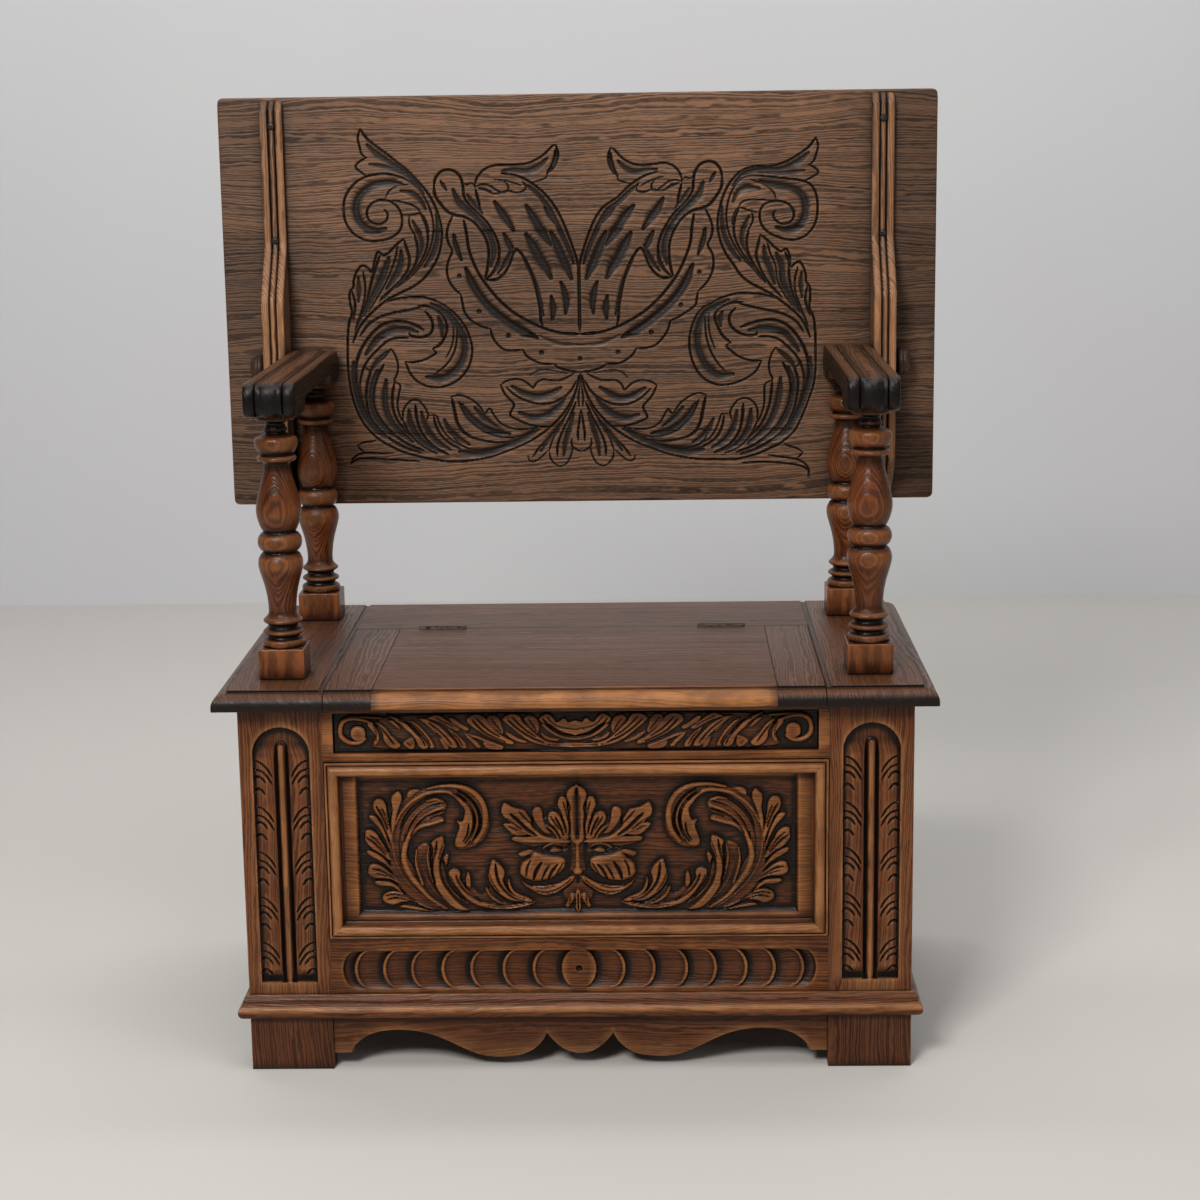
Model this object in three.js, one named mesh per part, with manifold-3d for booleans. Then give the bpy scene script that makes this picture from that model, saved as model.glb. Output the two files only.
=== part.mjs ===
// A monk's bench in carved oak: a chest whose seat board has a hinged lid, four turned
// balusters carrying two arms, and a table top that stands up behind as the back of the
// bench. The top turns on two wooden pegs in the arms, tips forward to lie on them, and
// slides on the pegs until it is centred over the chest.
//
// Millimetres. X to the right, Y to the back, Z up. The origin is on the floor under the
// middle of the seat. The front of the bench faces -Y.

import * as THREE from 'three';
import { mergeVertices } from 'three/addons/utils/BufferGeometryUtils.js';
import Module from 'manifold-3d';

const wasm = await Module();
wasm.setup();

// Seat board: two end boards, the lid between them and the strip that the lid hinges on
const seatWidth = 785;
const seatDepth = 470;
const seatHeight = 440;
const seatThickness = 21;
const endBoardWidth = 120.5;
const hingeRailDepth = 148;
const cleatWidth = 52;
const lidGap = 1;
const lidClearance = 0.5;
const seatEdgeInset = 15.5;
const seatEdgeStep = 3;
const seatEdgeShelf = 1.5;
const seatEdgeFillet = 5;

// Chest: frames of stiles and rails with thin panels, a floor and its bearers
const sideOverhang = 24;
const frontOverhang = 24;
const frameThickness = 25;
const frontStileWidth = 92;
const sideStileWidth = 90;
const topRailHeight = 63;
const bottomRailHeight = 91;
const footHeight = 62;
const panelThickness = 10;
const panelSetback = 9;
const floorThickness = 10;
const floorHeight = 100;
const bearerSize = 20;

// Mouldings: the frame round the front panel and the plinth round the chest
const frameMouldWidth = 18;
const frameMouldProud = 6;
const frameMouldFillet = 3;
const plinthHeight = 27;
const plinthProjection = 12;
const plinthFillet = 5;

// Apron between the front feet
const apronThickness = 20;
const apronSetback = 3;
const apronEndDrop = 44;
const apronEndWidth = 21;
const apronArchDrop = 18;
const apronLobeDrop = 50;
const apronCuspDrop = 22;
const apronCentreDrop = 46;

// Balusters and arms
const supportEndInset = 69;
const frontSupportInset = 88;
const rearSupportInset = 71;
const blockSize = 50;
const blockHeight = 34;
const blockChamfer = 1.5;
const tenonRadius = 10;
const footTenonLength = 12;
const armTenonLength = 6;
const armAboveSeat = 329;
const armThickness = 38;
const armWidth = 56;
const armFrontInset = 43;
const armArchRise = 15;
const armArchMargin = 33;
const reedDepth = 2;
const armReedWidth = 14;
const armGrooveWidth = 2;

// Table top, the battens screwed to it and the pegs that it turns on
const tableOverhang = 11.5;
const tableBeyondBatten = 51.7;
const tableThickness = 20;
const tableCornerRadius = 7;
const tableArris = 2.5;
const plankGap = 0.3;
const pivotDrop = 21;
const pivotInset = 67;
const tableClearance = 0.4;
const battenWidth = 27;
const battenGap = 0.8;
const battenThickness = 10;
const battenCheek = 54;
const battenMargin = 4;
const battenTopBevel = 9;
const cheekAbovePivot = 86;
const cheekSlopeTop = 60;
const slotEndMargin = 25.5;
const cheekSlopeBottom = 42;
const battenReedWidth = 8;
const battenGrooveWidth = 2;
const pegRadius = 9;
const pegSeat = 36;
const pegClearance = 0.5;
const knobRadius = 17.5;
const knobLength = 20;

// Lid hinges: butt hinges let into the joint behind the lid
const hingeLength = 57;
const hingeInset = 23;
const hingeKnuckleCount = 5;
const leafHeight = 18;
const leafThickness = 2;
const barrelRadius = 3.5;
const pinRadius = 1.5;
const metalClearance = 0.3;
const leafHoleRadius = 1.8;

// Screws through the battens into the top
const battenScrewRadius = 2;
const battenScrewHeadRadius = 4.5;
const battenScrewHeadDepth = 2.5;
const battenScrewLength = 22;
const upperScrewDrop = 33.5;
const lowerScrewRise = 6.9;

// General fits
const woodGap = 0.3;
const overrun = 5;
const boreSides = 12;
const roundSides = 16;
const arcSteps = 5;

// Reaches of the apron's arch, lobe and cusp from its middle, as shares of half its width
const apronArchShare = 0.734;
const apronLobeShare = 0.344;
const apronCuspShare = 0.134;

// How far below the upper edge of the top its pivots are, as a share of its depth
const pivotPlaceShare = 0.65314;

// Heights of the four planks of the top, from the upper one down, as shares of its depth
const plankShares = [0.325, 0.258, 0.239, 0.178];

// How round the middle lobe of the apron is, and how far down a hinge leaf its holes are
const centreLobeShare = 0.7;
const leafHoleShare = 0.65;

// Outline of a baluster above its block: [share of the turned height, share of half the block]
const balusterShares = [
  [0, 0.8], [0.01, 0.92], [0.028, 0.91], [0.038, 0.74], [0.045, 0.78], [0.06, 0.87], [0.076, 0.84],
  [0.083, 0.72], [0.092, 0.76], [0.108, 0.9], [0.128, 0.84], [0.137, 0.68], [0.165, 0.68],
  [0.22, 0.76], [0.29, 0.94], [0.335, 0.99], [0.375, 0.95], [0.4, 0.79], [0.412, 0.87],
  [0.44, 0.97], [0.475, 0.95], [0.494, 0.73], [0.512, 0.84], [0.545, 0.95], [0.585, 0.99],
  [0.63, 0.94], [0.69, 0.72], [0.745, 0.59], [0.787, 0.62], [0.8, 0.86], [0.815, 0.87],
  [0.824, 0.74], [0.85, 0.9], [0.888, 0.97], [0.915, 0.88], [0.926, 0.58], [0.95, 0.48],
  [0.975, 0.72], [0.988, 0.85], [1, 0.86],
];

// Outline of a peg's knob: [share of its length, share of its radius]
const knobShares = [[0, 0.8], [0.2, 1], [0.45, 1], [0.72, 0.86], [0.92, 0.5], [1, 0]];

// Places that several pieces share
const seatFront = -seatDepth / 2;
const seatBack = seatDepth / 2;
const endBoardInner = seatWidth / 2 - endBoardWidth;
const hingeLine = seatBack - hingeRailDepth;
const lidPanelHalfWidth = endBoardInner - lidGap - cleatWidth;
const chestHalfWidth = seatWidth / 2 - sideOverhang;
const chestFront = seatFront + frontOverhang;
const chestTop = seatHeight - seatThickness;
const openingTop = chestTop - topRailHeight;
const openingBottom = footHeight + bottomRailHeight;
const openingHalfWidth = chestHalfWidth - frontStileWidth;
const wellHalfWidth = chestHalfWidth - frameThickness;
const wellFront = chestFront + frameThickness;
const wellBack = seatBack - frameThickness;
const sideFrameFront = chestFront + sideStileWidth;
const sideFrameBack = seatBack - sideStileWidth;
const supportX = seatWidth / 2 - supportEndInset;
const frontSupportY = seatFront + frontSupportInset;
const rearSupportY = seatBack - rearSupportInset;
const armHeight = seatHeight + armAboveSeat;
const armUnderside = armHeight - armThickness;
const pivotX = supportX + armWidth / 2;
const pivotY = seatBack - pivotInset;
const pivotZ = armHeight - pivotDrop;
const tableDepth = seatDepth + tableOverhang * 2;
const tableFace = pivotY + pivotDrop + tableClearance;
const tableUpper = pivotZ + tableDepth * pivotPlaceShare;
const tableLower = tableUpper - tableDepth;
const battenInner = pivotX + battenGap;
const battenOuter = battenInner + battenWidth;
const tableHalfWidth = battenOuter + tableBeyondBatten;
const cheekTop = pivotZ + cheekAbovePivot;
const slideTravel = pivotY - (tableUpper - tableDepth / 2 - pivotZ);

// Turns every face of a geometry over
function flipped(geometry) {
  const index = geometry.index.array;
  for (let i = 0; i < index.length; i += 3) {
    [index[i], index[i + 1]] = [index[i + 1], index[i]];
  }
  return geometry;
}

// Leaves only positions, with shared vertices merged
function welded(geometry) {
  geometry.deleteAttribute('normal');
  geometry.deleteAttribute('uv');
  return mergeVertices(geometry);
}

function toSolid(geometry) {
  const merged = welded(geometry.clone());
  const vertProperties = new Float32Array(merged.attributes.position.array);
  const triVerts = new Uint32Array(merged.index.array);
  return new wasm.Manifold(new wasm.Mesh({ numProp: 3, vertProperties, triVerts }));
}

function toGeometry(solid) {
  const mesh = solid.getMesh();
  const geometry = new THREE.BufferGeometry();
  geometry.setAttribute('position', new THREE.BufferAttribute(new Float32Array(mesh.vertProperties), 3));
  geometry.setIndex(new THREE.BufferAttribute(new Uint32Array(mesh.triVerts), 1));
  return geometry;
}

function joined(...geometries) {
  return toGeometry(geometries.map(toSolid).reduce((sum, solid) => sum.add(solid)));
}

function cut(geometry, tools) {
  return toGeometry(tools.map(toSolid).reduce((rest, tool) => rest.subtract(tool), toSolid(geometry)));
}

function common(first, second) {
  return toGeometry(toSolid(first).intersect(toSolid(second)));
}

function mirrored(geometry) {
  return flipped(welded(geometry.clone()).scale(-1, 1, 1));
}

// A box between two corners
function block(low, high) {
  const [x, y, z] = high.map((value, axis) => value - low[axis]);
  const middle = high.map((value, axis) => (value + low[axis]) / 2);
  return new THREE.BoxGeometry(x, y, z).translate(...middle);
}

// A box that is as wide to the left as to the right
function centredBlock(halfWidth, [yLow, yHigh], [zLow, zHigh]) {
  return block([-halfWidth, yLow, zLow], [halfWidth, yHigh, zHigh]);
}

// An outline drawn on Y and Z, extruded from one X to another
function alongX(outline, from, to) {
  const geometry = new THREE.ExtrudeGeometry(outline, {
    depth: to - from, bevelEnabled: false, curveSegments: arcSteps,
  });
  const turn = new THREE.Matrix4().makeBasis(
    new THREE.Vector3(0, 1, 0), new THREE.Vector3(0, 0, 1), new THREE.Vector3(1, 0, 0),
  );
  return geometry.applyMatrix4(turn).translate(from, 0, 0);
}

// An outline drawn on X and Z, extruded from one Y to a greater one
function alongY(outline, from, to) {
  const geometry = new THREE.ExtrudeGeometry(outline, {
    depth: to - from, bevelEnabled: false, curveSegments: arcSteps,
  });
  return geometry.rotateX(Math.PI / 2).translate(0, to, 0);
}

// A round bar along X from a start point
function roundAlongX([x, y, z], radius, length, sides = boreSides) {
  const geometry = new THREE.CylinderGeometry(radius, radius, length, sides);
  return geometry.rotateZ(Math.PI / 2).translate(x + length / 2, y, z);
}

function roundAlongY([x, y, z], radius, length, sides = boreSides) {
  const geometry = new THREE.CylinderGeometry(radius, radius, length, sides);
  return geometry.translate(0, length / 2, 0).translate(x, y, z);
}

function roundAlongZ([x, y, z], radius, length, sides = boreSides) {
  const geometry = new THREE.CylinderGeometry(radius, radius, length, sides);
  return geometry.rotateX(Math.PI / 2).translate(x, y, z + length / 2);
}

// A moulding stick. The outline's first coordinate runs across the stick and its second
// stands out of the work; the length is the one at the zero edge, and each end is mitred
// outwards (1), inwards (-1) or left square (0).
function mouldingStick(outline, length, startMitre, endMitre) {
  const geometry = welded(new THREE.ExtrudeGeometry(outline, {
    depth: length, bevelEnabled: false, curveSegments: arcSteps,
  }));
  const place = geometry.attributes.position;
  for (let i = 0; i < place.count; i += 1) {
    const across = place.getX(i);
    const end = place.getZ(i) > length / 2 ? length + endMitre * across : -startMitre * across;
    place.setZ(i, end);
  }
  return geometry;
}

// Sets a moulding stick in the work: the directions across it, out of the work and along it
function laid(stick, across, out, along, start) {
  const vectors = [across, out, along].map((direction) => new THREE.Vector3(...direction));
  const turn = new THREE.Matrix4().makeBasis(...vectors);
  stick.applyMatrix4(turn).translate(...start);
  return turn.determinant() < 0 ? flipped(stick) : stick;
}

// Materials
function oak(color) {
  return new THREE.MeshStandardMaterial({ color, roughness: 0.55, metalness: 0 });
}

function warmOak() {
  return oak(0x7a4a28);
}

function darkOak() {
  return oak(0x4a3222);
}

function seatOak() {
  return oak(0x5f4533);
}

function insideOak() {
  return oak(0x8a6a48);
}

function steel() {
  return new THREE.MeshStandardMaterial({ color: 0x3a342e, roughness: 0.45, metalness: 0.9 });
}

function addPiece(parent, name, geometry, material, position = [0, 0, 0]) {
  const mesh = new THREE.Mesh(geometry, material);
  mesh.name = name;
  mesh.position.set(...position);
  parent.add(mesh);
}

// Both copies of a piece that is drawn for the right-hand side
function addPair(parent, name, geometry, makeMaterial) {
  addPiece(parent, `${name}_right`, geometry, makeMaterial());
  addPiece(parent, `${name}_left`, mirrored(geometry), makeMaterial());
}

// Chest

function frontFrame(chest) {
  const depth = [chestFront, wellFront];
  const stile = block([openingHalfWidth, chestFront, 0], [chestHalfWidth, wellFront, chestTop]);
  addPair(chest, 'front_stile', stile, warmOak);
  const topRail = centredBlock(openingHalfWidth, depth, [openingTop, chestTop]);
  addPiece(chest, 'front_rail_top', topRail, warmOak());
  const bottomRail = centredBlock(openingHalfWidth, depth, [footHeight, openingBottom]);
  addPiece(chest, 'front_rail_bottom', bottomRail, warmOak());
  const panelFace = chestFront + panelSetback;
  const panel = centredBlock(
    openingHalfWidth - woodGap,
    [panelFace, panelFace + panelThickness],
    [openingBottom + woodGap, openingTop - woodGap],
  );
  addPiece(chest, 'front_panel', panel, warmOak());
}

// Section of the moulding round the front panel, from the edge of the opening inwards
function frameMouldOutline() {
  const flush = panelSetback;
  const top = flush + frameMouldProud;
  const outline = new THREE.Shape();
  outline.moveTo(woodGap, 0);
  outline.lineTo(frameMouldWidth, 0);
  outline.lineTo(frameMouldWidth, frameMouldFillet);
  outline.lineTo(frameMouldWidth - frameMouldFillet, frameMouldFillet);
  outline.quadraticCurveTo(frameMouldWidth - frameMouldFillet, flush, frameMouldWidth / 2, flush);
  outline.lineTo(frameMouldWidth / 2, top - frameMouldFillet);
  outline.quadraticCurveTo(frameMouldWidth / 2, top, frameMouldWidth / 2 - frameMouldFillet, top);
  outline.lineTo(frameMouldFillet, top);
  outline.quadraticCurveTo(woodGap, top, woodGap, top - frameMouldFillet);
  return outline;
}

function frameMoulding(chest) {
  const face = chestFront + panelSetback;
  const width = openingHalfWidth * 2;
  const height = openingTop - openingBottom;
  const out = [0, -1, 0];
  const sides = [
    ['top', width, [0, 0, -1], [1, 0, 0], [-openingHalfWidth, face, openingTop]],
    ['bottom', width, [0, 0, 1], [1, 0, 0], [-openingHalfWidth, face, openingBottom]],
    ['left', height, [1, 0, 0], [0, 0, 1], [-openingHalfWidth, face, openingBottom]],
    ['right', height, [-1, 0, 0], [0, 0, 1], [openingHalfWidth, face, openingBottom]],
  ];
  for (const [side, length, across, along, corner] of sides) {
    const stick = mouldingStick(frameMouldOutline(), length - woodGap * 2, -1, -1);
    const start = corner.map((value, axis) => value + woodGap * along[axis]);
    addPiece(chest, `panel_moulding_${side}`, laid(stick, across, out, along, start), warmOak());
  }
}

function sideFrames(chest) {
  const sideBlock = (yRange, zRange) => block(
    [wellHalfWidth, yRange[0], zRange[0]],
    [chestHalfWidth, yRange[1], zRange[1]],
  );
  addPair(chest, 'side_stile_front', sideBlock([wellFront, sideFrameFront], [0, chestTop]), warmOak);
  addPair(chest, 'side_stile_back', sideBlock([sideFrameBack, seatBack], [0, chestTop]), warmOak);
  const between = [sideFrameFront, sideFrameBack];
  addPair(chest, 'side_rail_top', sideBlock(between, [openingTop, chestTop]), warmOak);
  addPair(chest, 'side_rail_bottom', sideBlock(between, [footHeight, openingBottom]), warmOak);
  const panelOuter = chestHalfWidth - panelSetback;
  const panel = block(
    [panelOuter - panelThickness, sideFrameFront + woodGap, openingBottom + woodGap],
    [panelOuter, sideFrameBack - woodGap, openingTop - woodGap],
  );
  addPair(chest, 'side_panel', panel, warmOak);
}

function backFrame(chest) {
  const depth = [wellBack, seatBack];
  const topRail = centredBlock(wellHalfWidth, depth, [openingTop, chestTop]);
  addPiece(chest, 'back_rail_top', topRail, insideOak());
  const bottomRail = centredBlock(wellHalfWidth, depth, [footHeight, openingBottom]);
  addPiece(chest, 'back_rail_bottom', bottomRail, insideOak());
  const panelBack = seatBack - panelSetback;
  const panel = centredBlock(
    wellHalfWidth - woodGap,
    [panelBack - panelThickness, panelBack],
    [openingBottom + woodGap, openingTop - woodGap],
  );
  addPiece(chest, 'back_panel', panel, insideOak());
}

function chestFloor(chest) {
  const floor = centredBlock(
    wellHalfWidth - woodGap,
    [wellFront + woodGap, wellBack - woodGap],
    [floorHeight, floorHeight + floorThickness],
  );
  addPiece(chest, 'chest_floor', floor, insideOak());
  const bearerLevel = [floorHeight - bearerSize, floorHeight];
  const front = centredBlock(wellHalfWidth - woodGap, [wellFront, wellFront + bearerSize], bearerLevel);
  addPiece(chest, 'floor_bearer_front', front, insideOak());
  const back = centredBlock(wellHalfWidth - woodGap, [wellBack - bearerSize, wellBack], bearerLevel);
  addPiece(chest, 'floor_bearer_back', back, insideOak());
}

// Section of the plinth moulding, from the chest outwards and from its foot upwards
function plinthOutline() {
  const round = (plinthHeight - plinthFillet) / 2;
  const outline = new THREE.Shape();
  outline.moveTo(0, 0);
  outline.lineTo(plinthProjection - round / 2, 0);
  outline.quadraticCurveTo(plinthProjection, 0, plinthProjection, round);
  outline.quadraticCurveTo(plinthProjection, round * 2, plinthProjection / 2, round * 2);
  outline.lineTo(plinthProjection / 2, plinthHeight - plinthFillet / 2);
  outline.lineTo(plinthProjection / 4, plinthHeight);
  outline.lineTo(0, plinthHeight);
  return outline;
}

function plinth(chest) {
  const up = [0, 0, 1];
  const frontStick = mouldingStick(plinthOutline(), chestHalfWidth * 2 - woodGap * 2, 1, 1);
  const frontStart = [-chestHalfWidth + woodGap, chestFront, footHeight];
  addPiece(chest, 'plinth_front', laid(frontStick, [0, -1, 0], up, [1, 0, 0], frontStart), warmOak());
  const sideStick = mouldingStick(plinthOutline(), seatBack - chestFront, 1, 0);
  const side = laid(sideStick, [1, 0, 0], up, [0, 1, 0], [chestHalfWidth, chestFront, footHeight]);
  addPair(chest, 'plinth', side, warmOak);
}

// The apron from its top edge down. Its lower edge has, from the middle outwards, half the
// centre lobe, a cusp, a wide lobe, an arch and a short flat at the foot.
function apronOutline() {
  const end = openingHalfWidth;
  const flat = end - apronEndWidth;
  const archReach = end * apronArchShare;
  const lobeReach = end * apronLobeShare;
  const cuspReach = end * apronCuspShare;
  const centreEnd = cuspReach * centreLobeShare;
  const lobeStart = (lobeReach + cuspReach) / 2;
  const ogeeMiddle = (archReach + lobeReach) / 2;
  const edge = new THREE.Path();
  edge.moveTo(0, -apronCentreDrop);
  edge.quadraticCurveTo(centreEnd, -apronCentreDrop, cuspReach, -apronCuspDrop);
  edge.quadraticCurveTo(lobeStart, -apronLobeDrop, lobeReach, -apronLobeDrop);
  edge.bezierCurveTo(
    ogeeMiddle, -apronLobeDrop, ogeeMiddle, -apronArchDrop, archReach, -apronArchDrop,
  );
  edge.quadraticCurveTo(flat, -apronArchDrop, flat, -apronEndDrop);
  edge.lineTo(end, -apronEndDrop);
  edge.lineTo(end, 0);
  const right = edge.getPoints(arcSteps);
  const left = right.slice(1).reverse().map((point) => new THREE.Vector2(-point.x, point.y));
  return new THREE.Shape([...left, ...right]);
}

function apron(chest) {
  const face = chestFront + apronSetback;
  const board = alongY(apronOutline(), face, face + apronThickness).translate(0, 0, footHeight);
  addPiece(chest, 'apron', board, warmOak());
}

// Seat

// Section of a seat board from an inner edge to its moulded outer edge, down to its underside
function seatEdge(inner, outer, underside = -seatThickness) {
  const outward = Math.sign(outer - inner);
  const arris = outer - outward * seatEdgeInset;
  const shelf = arris + outward * seatEdgeShelf;
  const outline = new THREE.Shape();
  outline.moveTo(inner, underside);
  outline.lineTo(outer, underside);
  outline.lineTo(outer, -seatThickness + seatEdgeFillet);
  outline.quadraticCurveTo(outer, -seatEdgeStep, shelf, -seatEdgeStep);
  outline.lineTo(arris, -seatEdgeStep);
  outline.lineTo(arris, 0);
  outline.lineTo(inner, 0);
  return outline;
}

// Holes for the tenons of the right-hand balusters, between two heights
function tenonHoles(low, high) {
  return [frontSupportY, rearSupportY].map(
    (y) => roundAlongZ([supportX, y, low], tenonRadius + woodGap, high - low, roundSides),
  );
}

function endBoards(seat) {
  const front = alongX(seatEdge(seatBack, seatFront), endBoardInner, seatWidth / 2);
  const side = alongY(seatEdge(endBoardInner, seatWidth / 2), seatFront, seatBack);
  const holes = tenonHoles(-footTenonLength - woodGap, overrun);
  addPair(seat, 'seat_end_board', cut(common(front, side), holes), seatOak);
}

// Hinges. Each is drawn with its pin on the X axis, the rail behind it and the lid in front.

function knuckleSpans(isLeafOfRail) {
  const length = hingeLength / hingeKnuckleCount;
  const spans = [];
  for (let i = isLeafOfRail ? 0 : 1; i < hingeKnuckleCount; i += 2) {
    const start = i * length - hingeLength / 2;
    spans.push([start, start + length]);
  }
  return spans;
}

function leafHolePlaces() {
  const spread = hingeLength / 2 - hingeLength / hingeKnuckleCount;
  return [-spread, spread].map((x) => [x, -leafHeight * leafHoleShare]);
}

// A leaf let into the rail: its screwed face looks forward, and its knuckles are round the pin
function railLeaf() {
  const front = lidGap / 2;
  const plate = block(
    [-hingeLength / 2, front, -leafHeight],
    [hingeLength / 2, front + leafThickness, 0],
  );
  return leafWithKnuckles(plate, true);
}

function lidLeaf() {
  const back = -lidGap / 2;
  const plate = block(
    [-hingeLength / 2, back - leafThickness, -leafHeight],
    [hingeLength / 2, back, 0],
  );
  return leafWithKnuckles(plate, false);
}

function leafWithKnuckles(plate, isLeafOfRail) {
  const own = knuckleSpans(isLeafOfRail);
  const other = knuckleSpans(!isLeafOfRail);
  const knuckles = own.map(([from, to]) => roundAlongX(
    [from + metalClearance / 2, 0, 0], barrelRadius, to - from - metalClearance,
  ));
  const room = other.map(([from, to]) => roundAlongX(
    [from - metalClearance / 2, 0, 0], barrelRadius + metalClearance, to - from + metalClearance,
  ));
  const bore = roundAlongX([-hingeLength, 0, 0], pinRadius + metalClearance, hingeLength * 2);
  const holes = leafHolePlaces().map(([x, z]) => roundAlongY(
    [x, -leafThickness - lidGap, z], leafHoleRadius, (leafThickness + lidGap) * 2,
  ));
  return cut(joined(cut(plate, room), ...knuckles), [bore, ...holes]);
}

function hingeCentres() {
  const centre = lidPanelHalfWidth - hingeInset - hingeLength / 2;
  return [-centre, centre];
}

// What a hinge takes out of the wood on one side of the joint
function hingeMortise(centre, side) {
  const half = hingeLength / 2 + woodGap;
  const depth = lidGap / 2 + leafThickness + woodGap;
  const low = side > 0 ? 0 : -depth;
  const plate = block([-half, low, -leafHeight - woodGap], [half, low + depth, overrun]);
  const barrel = roundAlongX([-half, 0, 0], barrelRadius + woodGap, half * 2, roundSides);
  return [plate, barrel].map((tool) => tool.translate(centre, hingeLine, 0));
}

function hingeRail(seat) {
  const plain = block(
    [-endBoardInner, hingeLine + lidGap / 2, -seatThickness],
    [endBoardInner, seatBack, 0],
  );
  const mortises = hingeCentres().flatMap((centre) => hingeMortise(centre, 1));
  addPiece(seat, 'hinge_rail', cut(plain, mortises), seatOak());
}

function hinges(seat, lid) {
  const sides = ['left', 'right'];
  hingeCentres().forEach((centre, i) => {
    const place = [centre, hingeLine, 0];
    addPiece(seat, `hinge_leaf_rail_${sides[i]}`, railLeaf(), steel(), place);
    addPiece(lid, `hinge_leaf_lid_${sides[i]}`, lidLeaf(), steel(), place);
    const pin = roundAlongX([-hingeLength / 2, 0, 0], pinRadius, hingeLength);
    addPiece(seat, `hinge_pin_${sides[i]}`, pin, steel(), place);
  });
}

function lidBoards(lid) {
  const outer = endBoardInner - lidGap;
  const inner = lidPanelHalfWidth;
  const back = hingeLine - lidGap / 2;
  const section = seatEdge(back, seatFront, -seatThickness + lidClearance);
  const mortises = hingeCentres().flatMap((centre) => hingeMortise(centre, -1));
  addPiece(lid, 'lid_panel', cut(alongX(section, -inner, inner), mortises), seatOak());
  addPair(lid, 'lid_cleat', alongX(section, inner + woodGap, outer), seatOak);
}

// Balusters and arms

function baluster() {
  const turnedHeight = armUnderside - seatHeight - blockHeight;
  const half = blockSize / 2;
  const top = blockHeight + turnedHeight;
  const rings = balusterShares.map(([heightShare, radiusShare]) => new THREE.Vector2(
    half * radiusShare, blockHeight + turnedHeight * heightShare,
  ));
  const profile = [
    new THREE.Vector2(0, -footTenonLength),
    new THREE.Vector2(tenonRadius, -footTenonLength),
    new THREE.Vector2(tenonRadius, blockHeight / 2),
    new THREE.Vector2(rings[0].x, blockHeight / 2),
    ...rings,
    new THREE.Vector2(tenonRadius, top),
    new THREE.Vector2(tenonRadius, top + armTenonLength),
    new THREE.Vector2(0, top + armTenonLength),
  ];
  const turned = new THREE.LatheGeometry(profile, roundSides).rotateX(Math.PI / 2);
  const square = new THREE.Shape();
  const short = half - blockChamfer;
  square.moveTo(-short, -half);
  square.lineTo(short, -half);
  square.lineTo(half, -short);
  square.lineTo(half, short);
  square.lineTo(short, half);
  square.lineTo(-short, half);
  square.lineTo(-half, short);
  square.lineTo(-half, -short);
  const foot = new THREE.ExtrudeGeometry(square, { depth: blockHeight, bevelEnabled: false });
  return joined(turned, foot);
}

// Side view of an arm on Y and Z, drawn smaller by an inset at its top and ends
function armOutline(inset) {
  const frontRadius = armThickness / 2 - inset;
  const frontY = seatFront + armFrontInset + armThickness / 2;
  const middleZ = armHeight - armThickness / 2;
  const rearRadius = pivotDrop - inset;
  const rearAngle = Math.asin((armUnderside - pivotZ) / rearRadius);
  const archFront = frontSupportY + armArchMargin;
  const archBack = rearSupportY - armArchMargin;
  const archTop = armUnderside + armArchRise;
  const outline = new THREE.Shape();
  outline.moveTo(frontY, armUnderside);
  outline.lineTo(archFront, armUnderside);
  outline.quadraticCurveTo(archFront, archTop, archFront + armArchRise, archTop);
  outline.lineTo(archBack - armArchRise, archTop);
  outline.quadraticCurveTo(archBack, archTop, archBack, armUnderside);
  outline.absarc(pivotY, pivotZ, rearRadius, rearAngle, Math.PI / 2, false);
  outline.lineTo(frontY, armHeight - inset);
  outline.absarc(frontY, middleZ, frontRadius, Math.PI / 2, Math.PI * 3 / 2, false);
  return outline;
}

// A bar with two grooves along its face: a core and three bands that stand over it
function reeded(outline, [from, to], bandWidth, grooveWidth) {
  const middleFrom = from + bandWidth + grooveWidth;
  const middleTo = to - bandWidth - grooveWidth;
  return joined(
    alongX(outline(reedDepth), from, to),
    alongX(outline(0), from, from + bandWidth),
    alongX(outline(0), middleFrom, middleTo),
    alongX(outline(0), to - bandWidth, to),
  );
}

function arm() {
  const bar = reeded(armOutline, [supportX - armWidth / 2, pivotX], armReedWidth, armGrooveWidth);
  const sockets = tenonHoles(armUnderside - overrun, armUnderside + armTenonLength + woodGap);
  const pegHole = roundAlongX(
    [pivotX - pegSeat - woodGap, pivotY, pivotZ], pegRadius + pegClearance, pegSeat + overrun, roundSides,
  );
  return cut(bar, [...sockets, pegHole]);
}

function supports(upper) {
  const rows = [['front', frontSupportY], ['rear', rearSupportY]];
  for (const [row, y] of rows) {
    addPiece(upper, `baluster_${row}_right`, baluster(), warmOak(), [supportX, y, seatHeight]);
    addPiece(upper, `baluster_${row}_left`, baluster(), warmOak(), [-supportX, y, seatHeight]);
  }
  addPair(upper, 'arm', arm(), darkOak);
}

// Pegs

function peg() {
  const inner = pivotX - pegSeat;
  const headStart = battenOuter + woodGap;
  const shaftLength = headStart - inner;
  const head = knobShares.map(([lengthShare, radiusShare]) => new THREE.Vector2(
    knobRadius * radiusShare, shaftLength + knobLength * lengthShare,
  ));
  const profile = [
    new THREE.Vector2(0, 0),
    new THREE.Vector2(pegRadius, 0),
    new THREE.Vector2(pegRadius, shaftLength),
    ...head,
  ];
  const turned = new THREE.LatheGeometry(profile, roundSides);
  return turned.rotateZ(-Math.PI / 2).translate(inner, pivotY, pivotZ);
}

// Table top

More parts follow.
